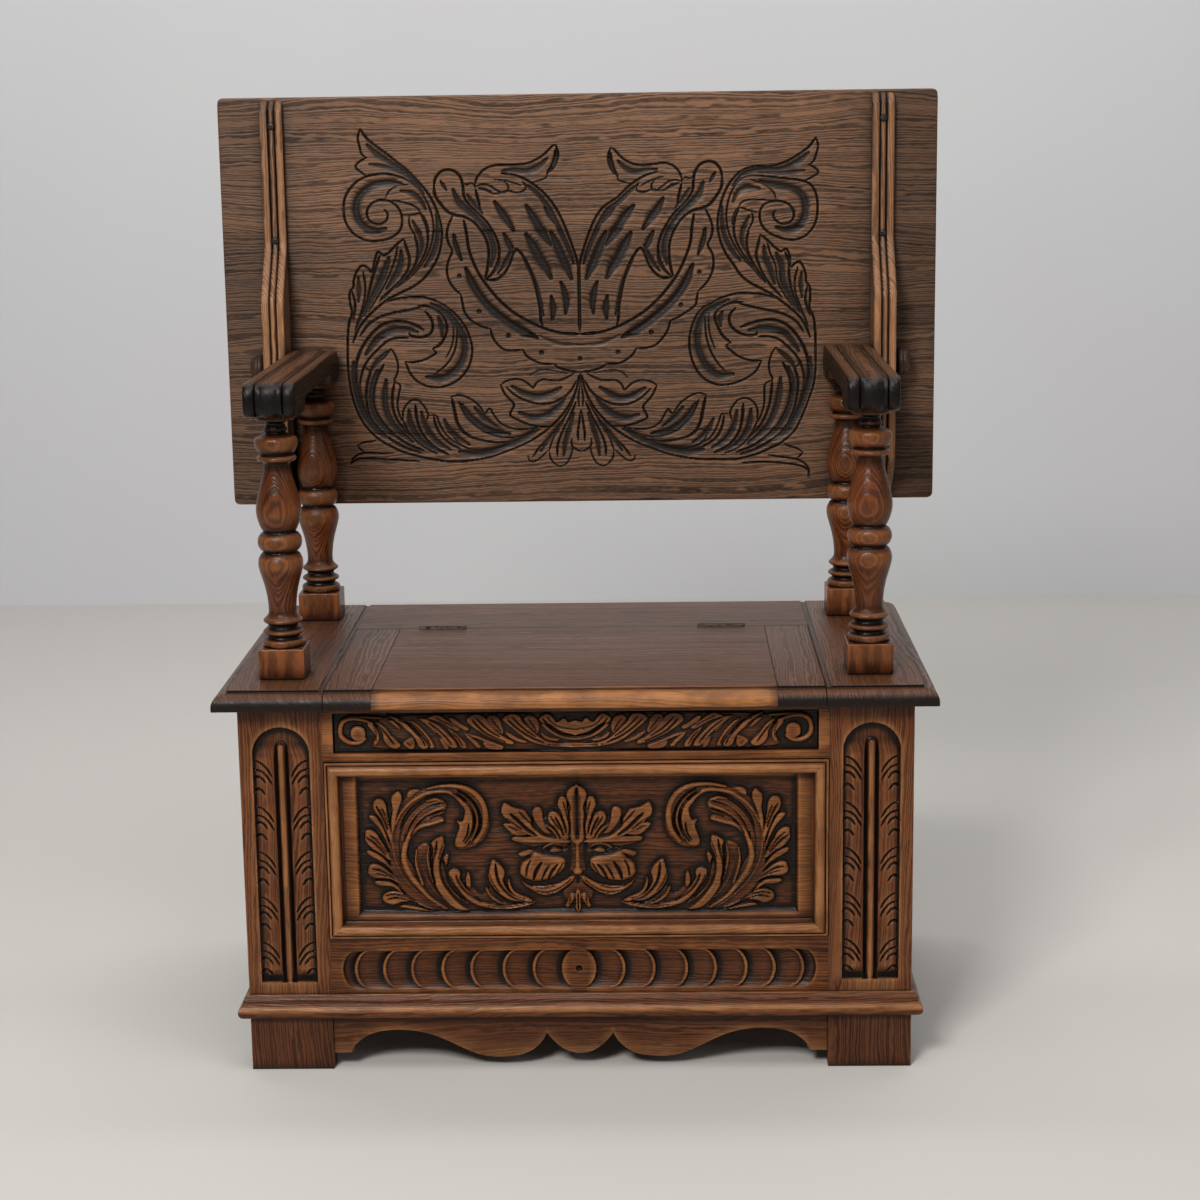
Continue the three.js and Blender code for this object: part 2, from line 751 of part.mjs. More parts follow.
function roundedRectangle(halfWidth, low, high, radius) {
  const outline = new THREE.Shape();
  outline.moveTo(-halfWidth + radius, low);
  outline.lineTo(halfWidth - radius, low);
  outline.absarc(halfWidth - radius, low + radius, radius, -Math.PI / 2, 0, false);
  outline.absarc(halfWidth - radius, high - radius, radius, 0, Math.PI / 2, false);
  outline.absarc(-halfWidth + radius, high - radius, radius, Math.PI / 2, Math.PI, false);
  outline.absarc(-halfWidth + radius, low + radius, radius, Math.PI, Math.PI * 3 / 2, false);
  return outline;
}

function wholeTop() {
  const outline = roundedRectangle(tableHalfWidth, tableLower, tableUpper, tableCornerRadius);
  const geometry = new THREE.ExtrudeGeometry(outline, {
    depth: tableThickness - tableArris * 2,
    bevelThickness: tableArris,
    bevelSize: tableArris,
    bevelOffset: -tableArris,
    bevelSegments: 2,
    curveSegments: 3,
  });
  return geometry.rotateX(Math.PI / 2).translate(0, tableFace + tableThickness - tableArris, 0);
}

function battenScrewHeights() {
  return [tableUpper - upperScrewDrop, cheekTop + cheekSlopeTop + lowerScrewRise];
}

function battenMiddle() {
  return battenInner + battenWidth / 2;
}

function battenScrewHoles() {
  const start = tableFace - battenThickness;
  return battenScrewHeights().flatMap((z) => [-battenMiddle(), battenMiddle()].map((x) => roundAlongY(
    [x, start - overrun, z], battenScrewRadius + metalClearance, battenScrewLength + overrun + metalClearance,
  )));
}

function planks(top) {
  const whole = cut(wholeTop(), battenScrewHoles());
  const names = ['top', 'upper', 'lower', 'bottom'];
  let upper = tableUpper;
  plankShares.forEach((share, i) => {
    const lower = upper - tableDepth * share;
    const slice = centredBlock(
      tableHalfWidth + overrun,
      [tableFace - overrun, tableFace + tableThickness + overrun],
      [lower + (i < plankShares.length - 1 ? plankGap : -overrun), i > 0 ? upper : upper + overrun],
    );
    addPiece(top, `table_plank_${names[i]}`, common(whole, slice), darkOak());
    upper = lower;
  });
}

// Side view of a batten on Y and Z: thin at its ends, with a deep cheek where the peg passes
function battenOutline(inset) {
  const thin = tableFace - battenThickness + inset;
  const deep = tableFace - battenCheek + inset;
  const upper = tableUpper - battenMargin;
  const lower = tableLower + battenMargin;
  const cheekBottom = pivotZ - slideTravel - slotEndMargin;
  const outline = new THREE.Shape();
  outline.moveTo(tableFace, lower);
  outline.lineTo(tableFace, upper);
  outline.lineTo(thin, upper - battenTopBevel);
  outline.lineTo(thin, cheekTop + cheekSlopeTop);
  outline.lineTo(deep, cheekTop);
  outline.lineTo(deep, cheekBottom);
  outline.lineTo(thin, cheekBottom - cheekSlopeBottom);
  outline.lineTo(thin, lower);
  return outline;
}

function slot() {
  const radius = pegRadius + pegClearance;
  const outline = new THREE.Shape();
  outline.absarc(pivotY, pivotZ, radius, 0, Math.PI, false);
  outline.absarc(pivotY, pivotZ - slideTravel, radius, Math.PI, Math.PI * 2, false);
  return alongX(outline, battenInner - overrun, battenOuter + overrun);
}

function batten() {
  const bar = reeded(battenOutline, [battenInner, battenOuter], battenReedWidth, battenGrooveWidth);
  return cut(bar, [slot(), ...battenScrewHoles()]);
}

function battenScrew() {
  return joined(
    roundAlongY([0, 0, 0], battenScrewRadius, battenScrewLength),
    roundAlongY([0, -battenScrewHeadDepth, 0], battenScrewHeadRadius, battenScrewHeadDepth),
  );
}

function battenScrews(top) {
  const names = ['upper', 'lower'];
  const face = tableFace - battenThickness;
  battenScrewHeights().forEach((z, i) => {
    addPiece(top, `batten_screw_${names[i]}_right`, battenScrew(), steel(), [battenMiddle(), face, z]);
    addPiece(top, `batten_screw_${names[i]}_left`, battenScrew(), steel(), [-battenMiddle(), face, z]);
  });
}

function tableTop(top) {
  planks(top);
  addPair(top, 'batten', batten(), warmOak);
  battenScrews(top);
}

// The whole bench

const bench = new THREE.Group();
const chest = new THREE.Group();
const seat = new THREE.Group();
const lid = new THREE.Group();
const upperWorks = new THREE.Group();
const pegs = new THREE.Group();
const top = new THREE.Group();
seat.position.z = seatHeight;
lid.position.z = seatHeight;

frontFrame(chest);
frameMoulding(chest);
sideFrames(chest);
backFrame(chest);
chestFloor(chest);
plinth(chest);
apron(chest);
endBoards(seat);
hingeRail(seat);
lidBoards(lid);
hinges(seat, lid);
supports(upperWorks);
addPair(pegs, 'pivot_peg', peg(), warmOak);
tableTop(top);

bench.add(chest, seat, lid, upperWorks, pegs, top);

export default bench;
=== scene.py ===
import math

import bpy
import numpy as np
from mathutils import Matrix, Vector


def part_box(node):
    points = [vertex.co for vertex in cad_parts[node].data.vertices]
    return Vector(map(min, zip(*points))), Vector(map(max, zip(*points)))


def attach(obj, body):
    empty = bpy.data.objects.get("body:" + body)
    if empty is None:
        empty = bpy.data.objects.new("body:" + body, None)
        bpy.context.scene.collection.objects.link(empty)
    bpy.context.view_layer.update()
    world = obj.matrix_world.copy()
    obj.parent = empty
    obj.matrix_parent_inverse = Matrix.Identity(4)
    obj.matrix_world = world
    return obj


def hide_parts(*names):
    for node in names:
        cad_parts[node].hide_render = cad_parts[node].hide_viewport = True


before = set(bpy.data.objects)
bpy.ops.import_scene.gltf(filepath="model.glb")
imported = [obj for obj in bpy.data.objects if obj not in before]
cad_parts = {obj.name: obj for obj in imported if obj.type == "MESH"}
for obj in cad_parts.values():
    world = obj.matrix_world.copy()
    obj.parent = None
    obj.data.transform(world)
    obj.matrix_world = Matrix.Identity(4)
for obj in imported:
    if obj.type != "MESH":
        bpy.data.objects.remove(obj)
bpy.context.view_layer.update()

# Lengths are in millimetres from here on, and MM makes them metres.
MM = 0.001
SHARP_ANGLE = math.radians(32)
MERGE_GAP = 2e-6
JOINT_ARRIS = 0.4
EDGE_WEAR_DEPTH = 3.2
PALEST = 1.3
# How much the shape around makes high places paler and hollows darker, part wear and staining, part painted
# highlight and painted shade: (how many corners around are looked at, share).
CAVITIES = ((3, 0.75), (8, 0.5), (18, 0.12))
SOAK_REACH = 14
SEAT_HEIGHT = 440.0

# ---------------------------------------------------------------- workbench


def deselect():
    bpy.ops.object.select_all(action="DESELECT")


def only(piece):
    deselect()
    piece.select_set(True)
    bpy.context.view_layer.objects.active = piece


def basic(add_form, **ways):
    """A basic form, added while nothing else is selected."""
    deselect()
    add_form(**ways)
    return bpy.context.object


def settled(piece, place=(0, 0, 0), turn=(0, 0, 0), scale=(1, 1, 1)):
    """Puts a place in metres, a turn and a scale into a piece's mesh."""
    piece.location, piece.rotation_euler, piece.scale = place, turn, scale
    only(piece)
    bpy.ops.object.transform_apply(location=True, rotation=True, scale=True)
    return piece


def extent(node):
    """Lowest and highest corner of a frame node."""
    low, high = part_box(node)
    return np.array(low) / MM, np.array(high) / MM


def corners_of(piece):
    """Where a piece's corners are, in metres: a row of x, y and z for each."""
    places = np.empty(len(piece.data.vertices) * 3, np.float32)
    piece.data.vertices.foreach_get("co", places)
    return places.reshape(-1, 3)


def set_corners(piece, places):
    piece.data.vertices.foreach_set("co", np.asarray(places, np.float32).reshape(-1))
    piece.data.update()


def shaped_grid(name, places):
    """A grid whose corners are set on an array of places: rows, columns, three lengths."""
    rows, columns = places.shape[:2]
    piece = basic(
        bpy.ops.mesh.primitive_grid_add, x_subdivisions=columns - 1, y_subdivisions=rows - 1, size=1,
    )
    piece.name = piece.data.name = name
    set_corners(piece, places * MM)
    return piece


def mark(piece, name, values):
    layer = piece.data.attributes.new(name, "FLOAT", "POINT")
    layer.data.foreach_set("value", np.asarray(values, np.float32).reshape(-1))


def mark_relief(piece, values):
    """Keeps how proud (above 0) or sunk (below 0) each corner is, for the finish, which is paler above 0
    (wear and painted highlight) and darker below 0 (staining and painted shade).
    """
    mark(piece, "relief", values)


def mark_tone(piece, tone_of):
    """Keeps how much paler (above 0) or darker (below 0) the finish is, by place."""
    x, y, z = corners_of(piece).T / MM
    mark(piece, "tone", np.broadcast_to(tone_of(x, y, z), x.shape))
    return piece


def add_wear_and_painted_light(piece, wear_of):
    """Makes a piece paler (above 0) or darker (below 0), by place: wear and soiling, and also painted
    highlight and painted shade.
    """
    x, y, z = corners_of(piece).T / MM
    layer = piece.data.attributes["relief"]
    values = np.empty(len(x), np.float32)
    layer.data.foreach_get("value", values)
    layer.data.foreach_set("value", (values + wear_of(x, y, z)).astype(np.float32))


def ramp(value, start, end):
    """0 before the start, 1 after the end, smooth between; the start may be the larger."""
    t = np.clip((value - start) / (end - start), 0, 1)
    return t * t * (3 - 2 * t)


def smoothed(piece):
    only(piece)
    bpy.ops.object.shade_smooth_by_angle(angle=SHARP_ANGLE)
    return piece


def face_outwards(piece):
    only(piece)
    bpy.ops.object.mode_set(mode="EDIT")
    bpy.ops.mesh.select_all(action="SELECT")
    bpy.ops.mesh.normals_make_consistent(inside=False)
    bpy.ops.object.mode_set(mode="OBJECT")
    return piece


def close_up(piece, fill=True):
    """Merges what meets, closes open ends, and turns the faces outwards."""
    only(piece)
    bpy.ops.object.mode_set(mode="EDIT")
    bpy.ops.mesh.select_all(action="SELECT")
    bpy.ops.mesh.remove_doubles(threshold=MERGE_GAP)
    if fill:
        bpy.ops.mesh.fill_holes(sides=0)
    bpy.ops.object.mode_set(mode="OBJECT")
    return smoothed(face_outwards(piece))


def cut_away(piece, cutter):
    """Takes the form of the cutter out of a piece."""
    only(piece)
    cut = piece.modifiers.new("cut", "BOOLEAN")
    cut.operation = "DIFFERENCE"
    cut.solver = "EXACT"
    cut.object = cutter
    bpy.ops.object.modifier_apply(modifier=cut.name)
    bpy.data.objects.remove(cutter)
    return piece


def take_out(piece, low, high):
    """Takes a square hollow out of a piece."""
    middle = [(a + b) / 2 * MM for a, b in zip(low, high)]
    size = [(b - a) * MM for a, b in zip(low, high)]
    cutter = settled(basic(bpy.ops.mesh.primitive_cube_add, size=1), middle, scale=size)
    return cut_away(piece, cutter)


def finished(piece, body, slot, material, *nodes):
    """Gives a piece its finish, its body and the frame nodes that it stands for."""
    piece.data.materials.clear()
    piece.data.materials.append(material)
    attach(piece, body)
    if nodes:
        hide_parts(*nodes)
    return piece


def finished_pair(right, left_name, body, slot, timber, grain, shifts, node):
    """Finishes a right-hand piece and its mirrored copy, which stand for NODE_right and NODE_left."""
    left = right.copy()
    left.data = right.data.copy()
    left.name = left.data.name = left_name
    bpy.context.scene.collection.objects.link(left)
    face_outwards(settled(left, scale=(-1, 1, 1)))
    finished(right, body, slot, oak(timber, grain, shifts[0]), node + "_right")
    finished(left, body, slot, oak(timber, grain, shifts[1]), node + "_left")


def joined(name, *pieces):
    only(pieces[0])
    for piece in pieces:
        piece.select_set(True)
    bpy.ops.object.join()
    whole = bpy.context.object
    whole.name = whole.data.name = name
    return whole


# ---------------------------------------------------------------- boards


def arc(centre, radius, start, end, steps):
    """Points round a centre, between two angles in degrees."""
    turns = np.linspace(math.radians(start), math.radians(end), steps)
    return [(centre[0] + radius * math.cos(a), centre[1] + radius * math.sin(a)) for a in turns]


def eased(radius, steps=3):
    """A rounded edge. Given the board's thickness, it runs from the back to the face of the board:
    (inset from the edge, set back from the face)."""
    turns = [math.pi / 2 * i / steps for i in range(steps + 1)]
    front = [(radius * (1 - math.cos(a)), radius * (1 - math.sin(a))) for a in turns]
    return lambda thickness: [(back, thickness - inset) for inset, back in front] + front


def moulded(profile):
    """An edge of a given profile, no deeper than the board is thick."""
    return lambda thickness: [(inset, min(back, thickness)) for inset, back in profile]


def across(low, high, low_edge, high_edge, inner):
    """Places over a board from one edge to the other, and how far each is set back."""
    inner = [value for value in inner if low + low_edge[-1][0] < value < high - high_edge[-1][0]]
    places = [low + inset for inset, _ in low_edge] + inner
    places += [high - inset for inset, _ in reversed(high_edge)]
    backs = [back for _, back in low_edge] + [0] * len(inner)
    backs += [back for _, back in reversed(high_edge)]
    return np.array(places, float), np.array(backs, float)


def inset_at(edge, back):
    """How far in from the edge a board's outline is at a set-back."""
    insets, backs = np.array(edge)[::-1].T
    return np.interp(back, backs, insets)


def fine(*spans):
    """Places along a line, over spans of (start, end, step)."""
    places = []
    for start, end, step in spans:
        places += list(np.linspace(start, end, max(2, int(round((end - start) / step)) + 1)))
    return places


FACES = {
    "-Y": ((0, 2), 1, 1), "+Y": ((0, 2), 1, -1), "+Z": ((0, 1), 2, -1),
    "+X": ((1, 2), 0, -1), "-X": ((1, 2), 0, 1),
}


def board(name, box, face, edges, inner, carve=None, wear=0.45, stain_and_depth_shade=0.05, polish_and_highlight=0.5, soak_and_depth_shade=0):
    """A board with eased or moulded edges, at the low and high end of each direction of its face.
    Inner has, for each direction, the places between, or (from the low end, from the high end, step).
    Carve gives the height of each place of the face, zero or less. Wear is how rubbed the edges are.
    Stain darkens for each millimetre of depth and soak for each millimetre of the depth around, as staining
    and as painted shade in the hollows; polish is how pale the high places are, as wear and as painted
    highlight."""
    low, high = box
    (u, v), w, sense = FACES[face]
    edges = [edge(high[w] - low[w]) for edge in edges]
    ways = ((u, inner[0], edges[:2]), (v, inner[1], edges[2:]))
    lines, backs = [], []
    for axis, places, ends in ways:
        if isinstance(places, tuple):
            places = fine((low[axis] + places[0], high[axis] - places[1], places[2]))
        line, back = across(low[axis], high[axis], *ends, places)
        lines.append(line)
        backs.append(back)
    back = np.maximum(*np.meshgrid(*backs))
    relief = np.where((back > 0) & (back < EDGE_WEAR_DEPTH), wear, 0)
    height = np.zeros_like(back)
    if carve is not None:
        height = carve(*lines) * (back == 0)
        # Hollows darker and high places paler by the shape around: staining and wear, with painted shade and
        # painted highlight.
        near = sum(share * cavity(height, reach) for reach, share in CAVITIES)
        relief = relief + np.where(near > 0, np.minimum(near, PALEST) * polish_and_highlight, near) + stain_and_depth_shade * height
        relief = relief + soak_and_depth_shade * (height - cavity(height, SOAK_REACH))
    places = np.zeros(back.shape + (3,))
    for (axis, _, ends), line in zip(ways, np.meshgrid(*lines)):
        first, last = (inset_at(end, back) for end in ends)
        places[..., axis] = np.clip(line, low[axis] + first, high[axis] - last)
    places[..., w] = (low[w] if sense > 0 else high[w]) + sense * (back - height)
    piece = shaped_grid(name, places)
    mark_relief(piece, relief)
    return close_up(piece)


# ---------------------------------------------------------------- carving


def lines_of(text):
    """Rows such as '2 1.5 : x,z x,z ...' as their numbers and their points. A row may run on below."""
    rows = []
    for line in filter(None, text.split("\n")):
        sizes, starts, points = line.rpartition(":")
        if starts:
            rows.append(([float(value) for value in sizes.split()], []))
        rows[-1][1].extend([float(c) for c in point.split(",")] for point in points.split())
    return [(sizes, np.array(points)) for sizes, points in rows]


def curve_through(corners, step):
    """A curve from the second corner to the last but one, as short straight pieces."""
    curve = []
    for a, b, c, d in zip(corners, corners[1:], corners[2:], corners[3:]):
        count = max(2, int(np.hypot(*(c - b)) / step))
        t = np.linspace(0, 1, count, endpoint=False)[:, None]
        curve.append(0.5 * (2 * b + (c - a) * t + (2 * a - 5 * b + 4 * c - d) * t ** 2
                            + (3 * b - a - 3 * c + d) * t ** 3))
    return np.vstack(curve)


def smooth_line(points, step=2.0):
    """A curve through the points."""
    if len(points) < 3:
        count = max(2, int(np.hypot(*(points[-1] - points[0])) / step))
        return points[0] + (points[-1] - points[0]) * np.linspace(0, 1, count)[:, None]
    padded = np.vstack([2 * points[0] - points[1], points, 2 * points[-1] - points[-2]])
    return np.vstack([curve_through(padded, step), points[-1:]])


def gap_to(X, Z, start, end):
    """How far places are from a straight piece, and where along it they are nearest."""
    (ax, az), (bx, bz) = start, end
    span = max(math.hypot(bx - ax, bz - az), 1e-6)
    t = np.clip(((X - ax) * (bx - ax) + (Z - az) * (bz - az)) / span ** 2, 0, 1)
    return np.hypot(X - ax - t * (bx - ax), Z - az - t * (bz - az)), t


def window(xs, zs, points, reach=0):
    """The part of a grid that points can reach, as slices of its rows and columns."""
    c0, c1 = np.searchsorted(xs, (points[:, 0].min() - reach, points[:, 0].max() + reach))
    r0, r1 = np.searchsorted(zs, (points[:, 1].min() - reach, points[:, 1].max() + reach))
    return slice(r0, r1), slice(c0, c1)


def nearness(xs, zs, points, widths, taper):
    """Over a grid, 1 on the middle of a stroke, falling to 0 at its half width."""
    line = smooth_line(points)
    run = np.concatenate([[0], np.cumsum(np.hypot(*np.diff(line, axis=0).T))])
    half = np.interp(run / run[-1], np.linspace(0, 1, len(widths)), widths)
    if taper:
        ends = np.minimum(run, run[-1] - run) / min(taper, run[-1] / 2)
        half = half * np.clip(0.35 + 0.65 * ends, 0.35, 1)
    near = np.zeros((len(zs), len(xs)))
    for i in range(len(line) - 1):
        rows, columns = window(xs, zs, line[i:i + 2], max(half[i], half[i + 1]))
        part = near[rows, columns]
        if part.size:
            gap, t = gap_to(*np.meshgrid(xs[columns], zs[rows]), line[i], line[i + 1])
            np.maximum(part, 1 - gap / (half[i] + (half[i + 1] - half[i]) * t), out=part)
    return np.clip(near, 0, 1)


def strokes(xs, zs, rows, taper, wide=1.0, rounded=False):
    """How deep strokes of '(half width) (depth)' cut, at each place of a grid."""
    cut = np.zeros((len(zs), len(xs)))
    for (half, depth), points in rows:
        near = nearness(xs, zs, points, [half * wide] * 2, taper)
        cut = np.maximum(cut, depth * (ramp(near, 0, 1) if rounded else near))
    return cut


def both_sides(xs, half_of):
    """Works a pattern drawn for the left-hand side over both sides of the middle."""
    mirrored = np.round(-np.abs(xs), 4)
    left = np.unique(mirrored)
    return half_of(left)[:, np.searchsorted(left, mirrored)]


def cavity(height, reach):
    """How much each place stands over its neighbours."""
    around = height
    for axis in (0, 1):
        around = sum(np.roll(around, offset, axis) for offset in range(-reach, reach + 1)) / (2 * reach + 1)
    return height - around


CARVED_GROUND = -5.0
ROUND_SHARE = 1.6
LINE_SHARE = 1.45
DOME_REACH = 6


def ridges(height, xs, zs, text):
    """Raises leaves of '(height over the ground) (half widths along it)', rounded across."""
    for (rise, *widths), points in lines_of(text):
        near = nearness(xs, zs, points, widths, 0)
        form = CARVED_GROUND + rise * np.sqrt(1 - (1 - near) ** 2)
        height = np.maximum(height, np.where(near > 0, form, height))
    return height


def leaves(height, xs, zs, text):
    """Raises outlined leaves of '(top) (edge) (dome)': steep sides, then a slightly domed top."""
    for (top, edge, dome), points in lines_of(text):
        line = curve_through(np.vstack([points[-1:], points, points[:2]]), 1.6)
        rows, columns = window(xs, zs, line)
        X, Z = np.meshgrid(xs[columns], zs[rows])
        inside = np.zeros(X.shape, bool)
        gap = np.full(X.shape, 99.0)
        for (ax, az), (bx, bz) in zip(line, np.roll(line, -1, axis=0)):
            gap = np.minimum(gap, gap_to(X, Z, (ax, az), (bx, bz))[0])
            if abs(bz - az) > 1e-9:
                crossing = (az > Z) != (bz > Z)
                inside ^= crossing & (X < (bx - ax) * (Z - az) / (bz - az) + ax)
        side = np.sqrt(1 - (1 - np.clip(gap / (edge * ROUND_SHARE), 0, 1)) ** 2)
        swell = dome * (1 - np.clip(gap / DOME_REACH, 0, 1)) ** 2
        form = CARVED_GROUND + (top - CARVED_GROUND) * side - swell
        part = height[rows, columns]
        part[...] = np.where(inside, np.maximum(part, form), part)
    return height


def carved_relief(xs, zs, ground, leaf_text, ridge_text, *cuts):
    """Leaves and ridges that stand on a sunk ground. Cuts are (strokes into them alone, taper)."""
    height = ridges(leaves(ground.copy(), xs, zs, leaf_text), xs, zs, ridge_text)
    standing = ramp(height - ground, 0, 1.5)
    for text, taper in cuts:
        height = height - strokes(xs, zs, lines_of(text), taper, LINE_SHARE)
    return height * standing + ground * (1 - standing)


# The carving is drawn for the left half: x from the middle and z over the floor. A row is
# '(sizes) : points', and its sizes are described at strokes, ridges and leaves.
TOP_LINES = """
2.0 2.2 : -260,1032 -252,1020 -240,1010 -228,1001 -216,991 -206,983 -197,974 -188,964 -179,952 -172,938
  -167,922 -165,907 -167,890 -172,875 -180,862 -190,851 -203,842 -216,836 -232,828 -246,818 -259,806
  -270,792 -277,776
1.6 2 : -260,1032 -263,1021 -261,1010 -259,1002 -254,998
1.6 2 : -253,998 -262,993 -267,987 -261,981 -254,976
1.8 2 : -205,971 -218,976 -232,978 -247,977 -260,973 -272,964 -281,950 -283,934 -280,919 -270,906 -255,899
  -238,899 -223,904 -214,914 -213,928 -218,939 -228,946 -240,947 -250,942 -255,933 -253,924 -246,919
  -237,919 -231,924 -230,931 -234,936
1.5 1.8 : -222,977 -206,971 -194,962 -184,948 -178,934 -175,918 -176,902 -181,886 -190,870 -203,856 -214,847
1.4 1.6 : -232,950 -227,958 -217,964 -204,965
1.4 1.6 : -229,947 -214,945 -201,941 -193,936 -189,929
1.4 1.6 : -213,929 -201,929 -190,930 -184,922 -180,908
1.5 1.8 : -204,928 -204,918 -200,909 -196,903
1.8 2 : -190,930 -184,916 -182,900 -185,886 -192,872 -203,858
1.8 2.2 : -211,901 -221,893 -229,885 -236,881 -243,885 -247,876 -251,861 -256,866 -263,869 -270,861 -274,850
  -274,844 -279,836 -279,824 -277,812 -281,800 -283,785 -284,765 -284,740 -282,720 -279,705 -274,690
  -267,676 -258,665 -247,655 -235,648 -221,641 -205,636 -188,632 -170,629 -150,628 -130,630 -110,634 -90,641
  -70,649 -52,659 -35,672 -20,688 -10,704 -4,720 -2,733
2.4 2 : -211,899 -208,888 -205,875 -208,862 -217,850 -230,838 -243,826
2.6 2.2 : -198,904 -195,893 -195,880 -200,866 -210,853 -222,842
1.6 1.8 : -219,893 -222,878 -228,862 -236,846 -246,830 -257,813
2.6 2.2 : -241,881 -246,868 -251,853 -255,838 -260,822 -268,803
1.8 1.8 : -262,862 -260,846 -261,830 -266,812 -274,790
2.4 2 : -276,838 -273,822 -276,804
1.8 2 : -238,824 -224,828 -208,830 -190,830 -172,824 -158,815 -146,803 -137,788 -132,770 -133,755 -138,742
  -147,731 -158,724 -172,720 -186,721 -199,727 -208,737 -212,747 -214,752
1.8 2 : -214,752 -203,751 -190,754 -182,758 -176,762 -180,767
2.4 2.2 : -180,767 -171,772 -165,781 -162,792 -164,803 -171,812 -182,818 -196,820
1.5 1.8 : -165,820 -155,808 -150,795 -150,780 -153,765 -160,752 -170,742 -180,735
1.3 1.5 : -172,822 -160,811 -155,798 -154,783 -157,769 -164,756
2.2 2.2 : -188,813 -181,804 -179,794 -182,786 -190,782 -200,782 -207,784 -208,789
2.0 2 : -209,781 -222,781 -235,777 -246,768 -257,757 -265,745 -270,728 -271,715
2.6 2.4 : -190,790 -200,796 -212,800 -226,801 -240,797 -252,788 -262,776 -270,762 -275,745 -276,725
2.2 2 : -192,818 -210,814 -228,811 -244,806 -258,797 -268,784
1.5 1.8 : -267,739 -263,745 -258,742 -250,749 -239,758 -231,768
1.5 1.8 : -231,768 -226,760 -223,749 -224,738 -228,728 -221,723 -223,712 -225,700 -224,690 -220,679
2.6 2.4 : -256,741 -261,726 -263,708 -261,690 -254,675 -243,663 -228,652 -212,644 -198,640
2.6 2.4 : -240,749 -249,733 -254,715 -254,697 -247,681 -237,668 -224,657 -210,648 -194,642
2.4 2.2 : -228,726 -231,711 -231,695 -226,680 -217,668 -205,656
1.5 1.8 : -219,680 -218,692 -212,701 -205,705 -198,703 -192,696 -188,687 -190,678
1.5 1.8 : -187,686 -178,685 -174,675 -168,664 -160,655 -150,649 -138,643
2.6 2.4 : -203,698 -202,683 -198,668 -190,655 -178,644 -164,637
1.8 2 : -219,680 -213,667 -204,655 -193,646 -178,638
2.2 2 : -181,684 -178,671 -171,659 -161,650 -148,643
1.5 1.8 : -159,708 -149,710 -137,706 -127,699 -121,691 -118,687 -112,693 -107,685 -100,676 -90,670 -76,667
  -60,668 -48,670
2.6 2.4 : -158,706 -155,690 -152,676 -144,664 -132,656
1.8 2 : -150,703 -143,687 -132,674 -119,665 -104,659 -86,657 -68,660 -50,667
1.8 2 : -152,672 -139,660 -122,654 -102,651 -82,653 -62,660
1.5 1.8 : -161,668 -156,657 -147,648 -134,642 -118,640
1.4 1.6 : -160,668 -150,667 -141,661
1.6 1.8 : -98,722 -90,727 -80,729 -70,727 -63,722 -58,718 -54,724 -46,728 -36,727 -25,727 -15,731 -8,735
1.8 2 : -98,722 -93,711 -86,703 -82,697 -87,685 -78,679 -65,673 -50,670 -36,670
2.0 2 : -91,719 -80,709 -66,702 -50,698 -36,699 -22,705 -12,714 -5,726
1.2 1.2 : -62,733 -54,738 -44,740 -30,738 -14,735
1.4 1.5 : -40,640 -38,630 -32,623 -26,621 -19,624 -14,632 -11,643 -13,652
1.6 1.8 : -40,640 -35,655 -26,672 -15,690 -7,708
2.0 2 : -30,634 -29,648 -23,664 -14,681 -6,700
1.4 1.5 : -66,634 -64,628 -58,627 -50,632 -41,641
1.8 2 : -60,633 -52,644 -41,655 -28,667
1.5 1.8 : -12,655 -12,647 -6,641 0,639
1.8 2 : -4,652 -4,664 -2,677 0,690
1.6 1.8 : 0,736 -1,720 -3,706 -2,694
1.8 2 : -151,928 -157,915 -159,904 -157,894 -153,885 -158,873 -160,860 -157,848 -150,838 -144,833
1.8 2 : -144,833 -142,822 -140,812 -134,803 -126,797 -118,793 -109,791
1.8 2 : -109,791 -106,780 -100,771 -92,765 -81,764 -70,765
1.8 2 : -70,765 -66,758 -58,752 -49,748 -40,747 -32,747
1.8 2 : -32,747 -26,742 -13,738 0,737
2.2 2.4 : -138,922 -135,905 -133,888 -128,872 -120,855 -108,838 -95,823 -80,810 -62,799 -45,791 -25,785 0,783
2.2 2.4 : -173,963 -171,972 -164,980 -155,982 -146,979 -140,971 -138,961 -137,950 -131,940 -122,931 -112,921
  -104,909 -98,896 -96,883 -99,869 -105,858 -113,850
2.4 2.4 : -173,963 -172,952 -166,942 -157,932 -148,928 -138,926 -128,921 -120,913 -113,902 -109,889 -109,875
  -111,862 -114,851
1.6 1.6 : -140,968 -134,964 -128,966 -124,963
1.8 2 : -124,962 -121,972 -113,981 -102,986 -88,987 -72,987 -58,989 -45,995 -36,1002 -29,1009 -25,1010
2.4 2.4 : -25,1009 -23,999 -25,990 -30,982 -37,976
2.6 2.4 : -24,997 -28,987 -36,979
1.4 1.4 : -36,976 -38,971 -46,968 -54,966
2.0 2.2 : -92,977 -76,975 -62,969 -50,961 -38,950 -28,937 -20,922 -13,905 -7,888 -2,872 0,860
2.4 2.4 : -123,958 -120,945 -118,934
1.6 1.6 : -124,961 -116,964 -107,963 -99,958 -91,954 -84,957 -84,963 -88,967
1.6 1.6 : -108,955 -98,953 -84,956 -74,954 -65,956 -62,961 -66,967
1.4 1.4 : -100,970 -86,968 -75,965 -68,962
2.2 2.4 : -113,850 -101,850 -91,857 -84,868 -80,879 -75,886 -68,879 -61,866 -55,849 -51,832 -48,815 -47,800
  -45,793
2.6 2.6 : 0,868 0,850 0,820 0,786
"""

TOP_FLOURISH = """
1.6 2.0 : -285,626 -277,632 -260,633 -230,631 -200,629
1.6 2.0 : -285,627 -280,635 -268,640 -245,639 -232,640
1.5 1.8 : -275,650 -268,653 -258,654 -253,656
1.5 1.8 : -276,650 -273,645 -268,641
"""

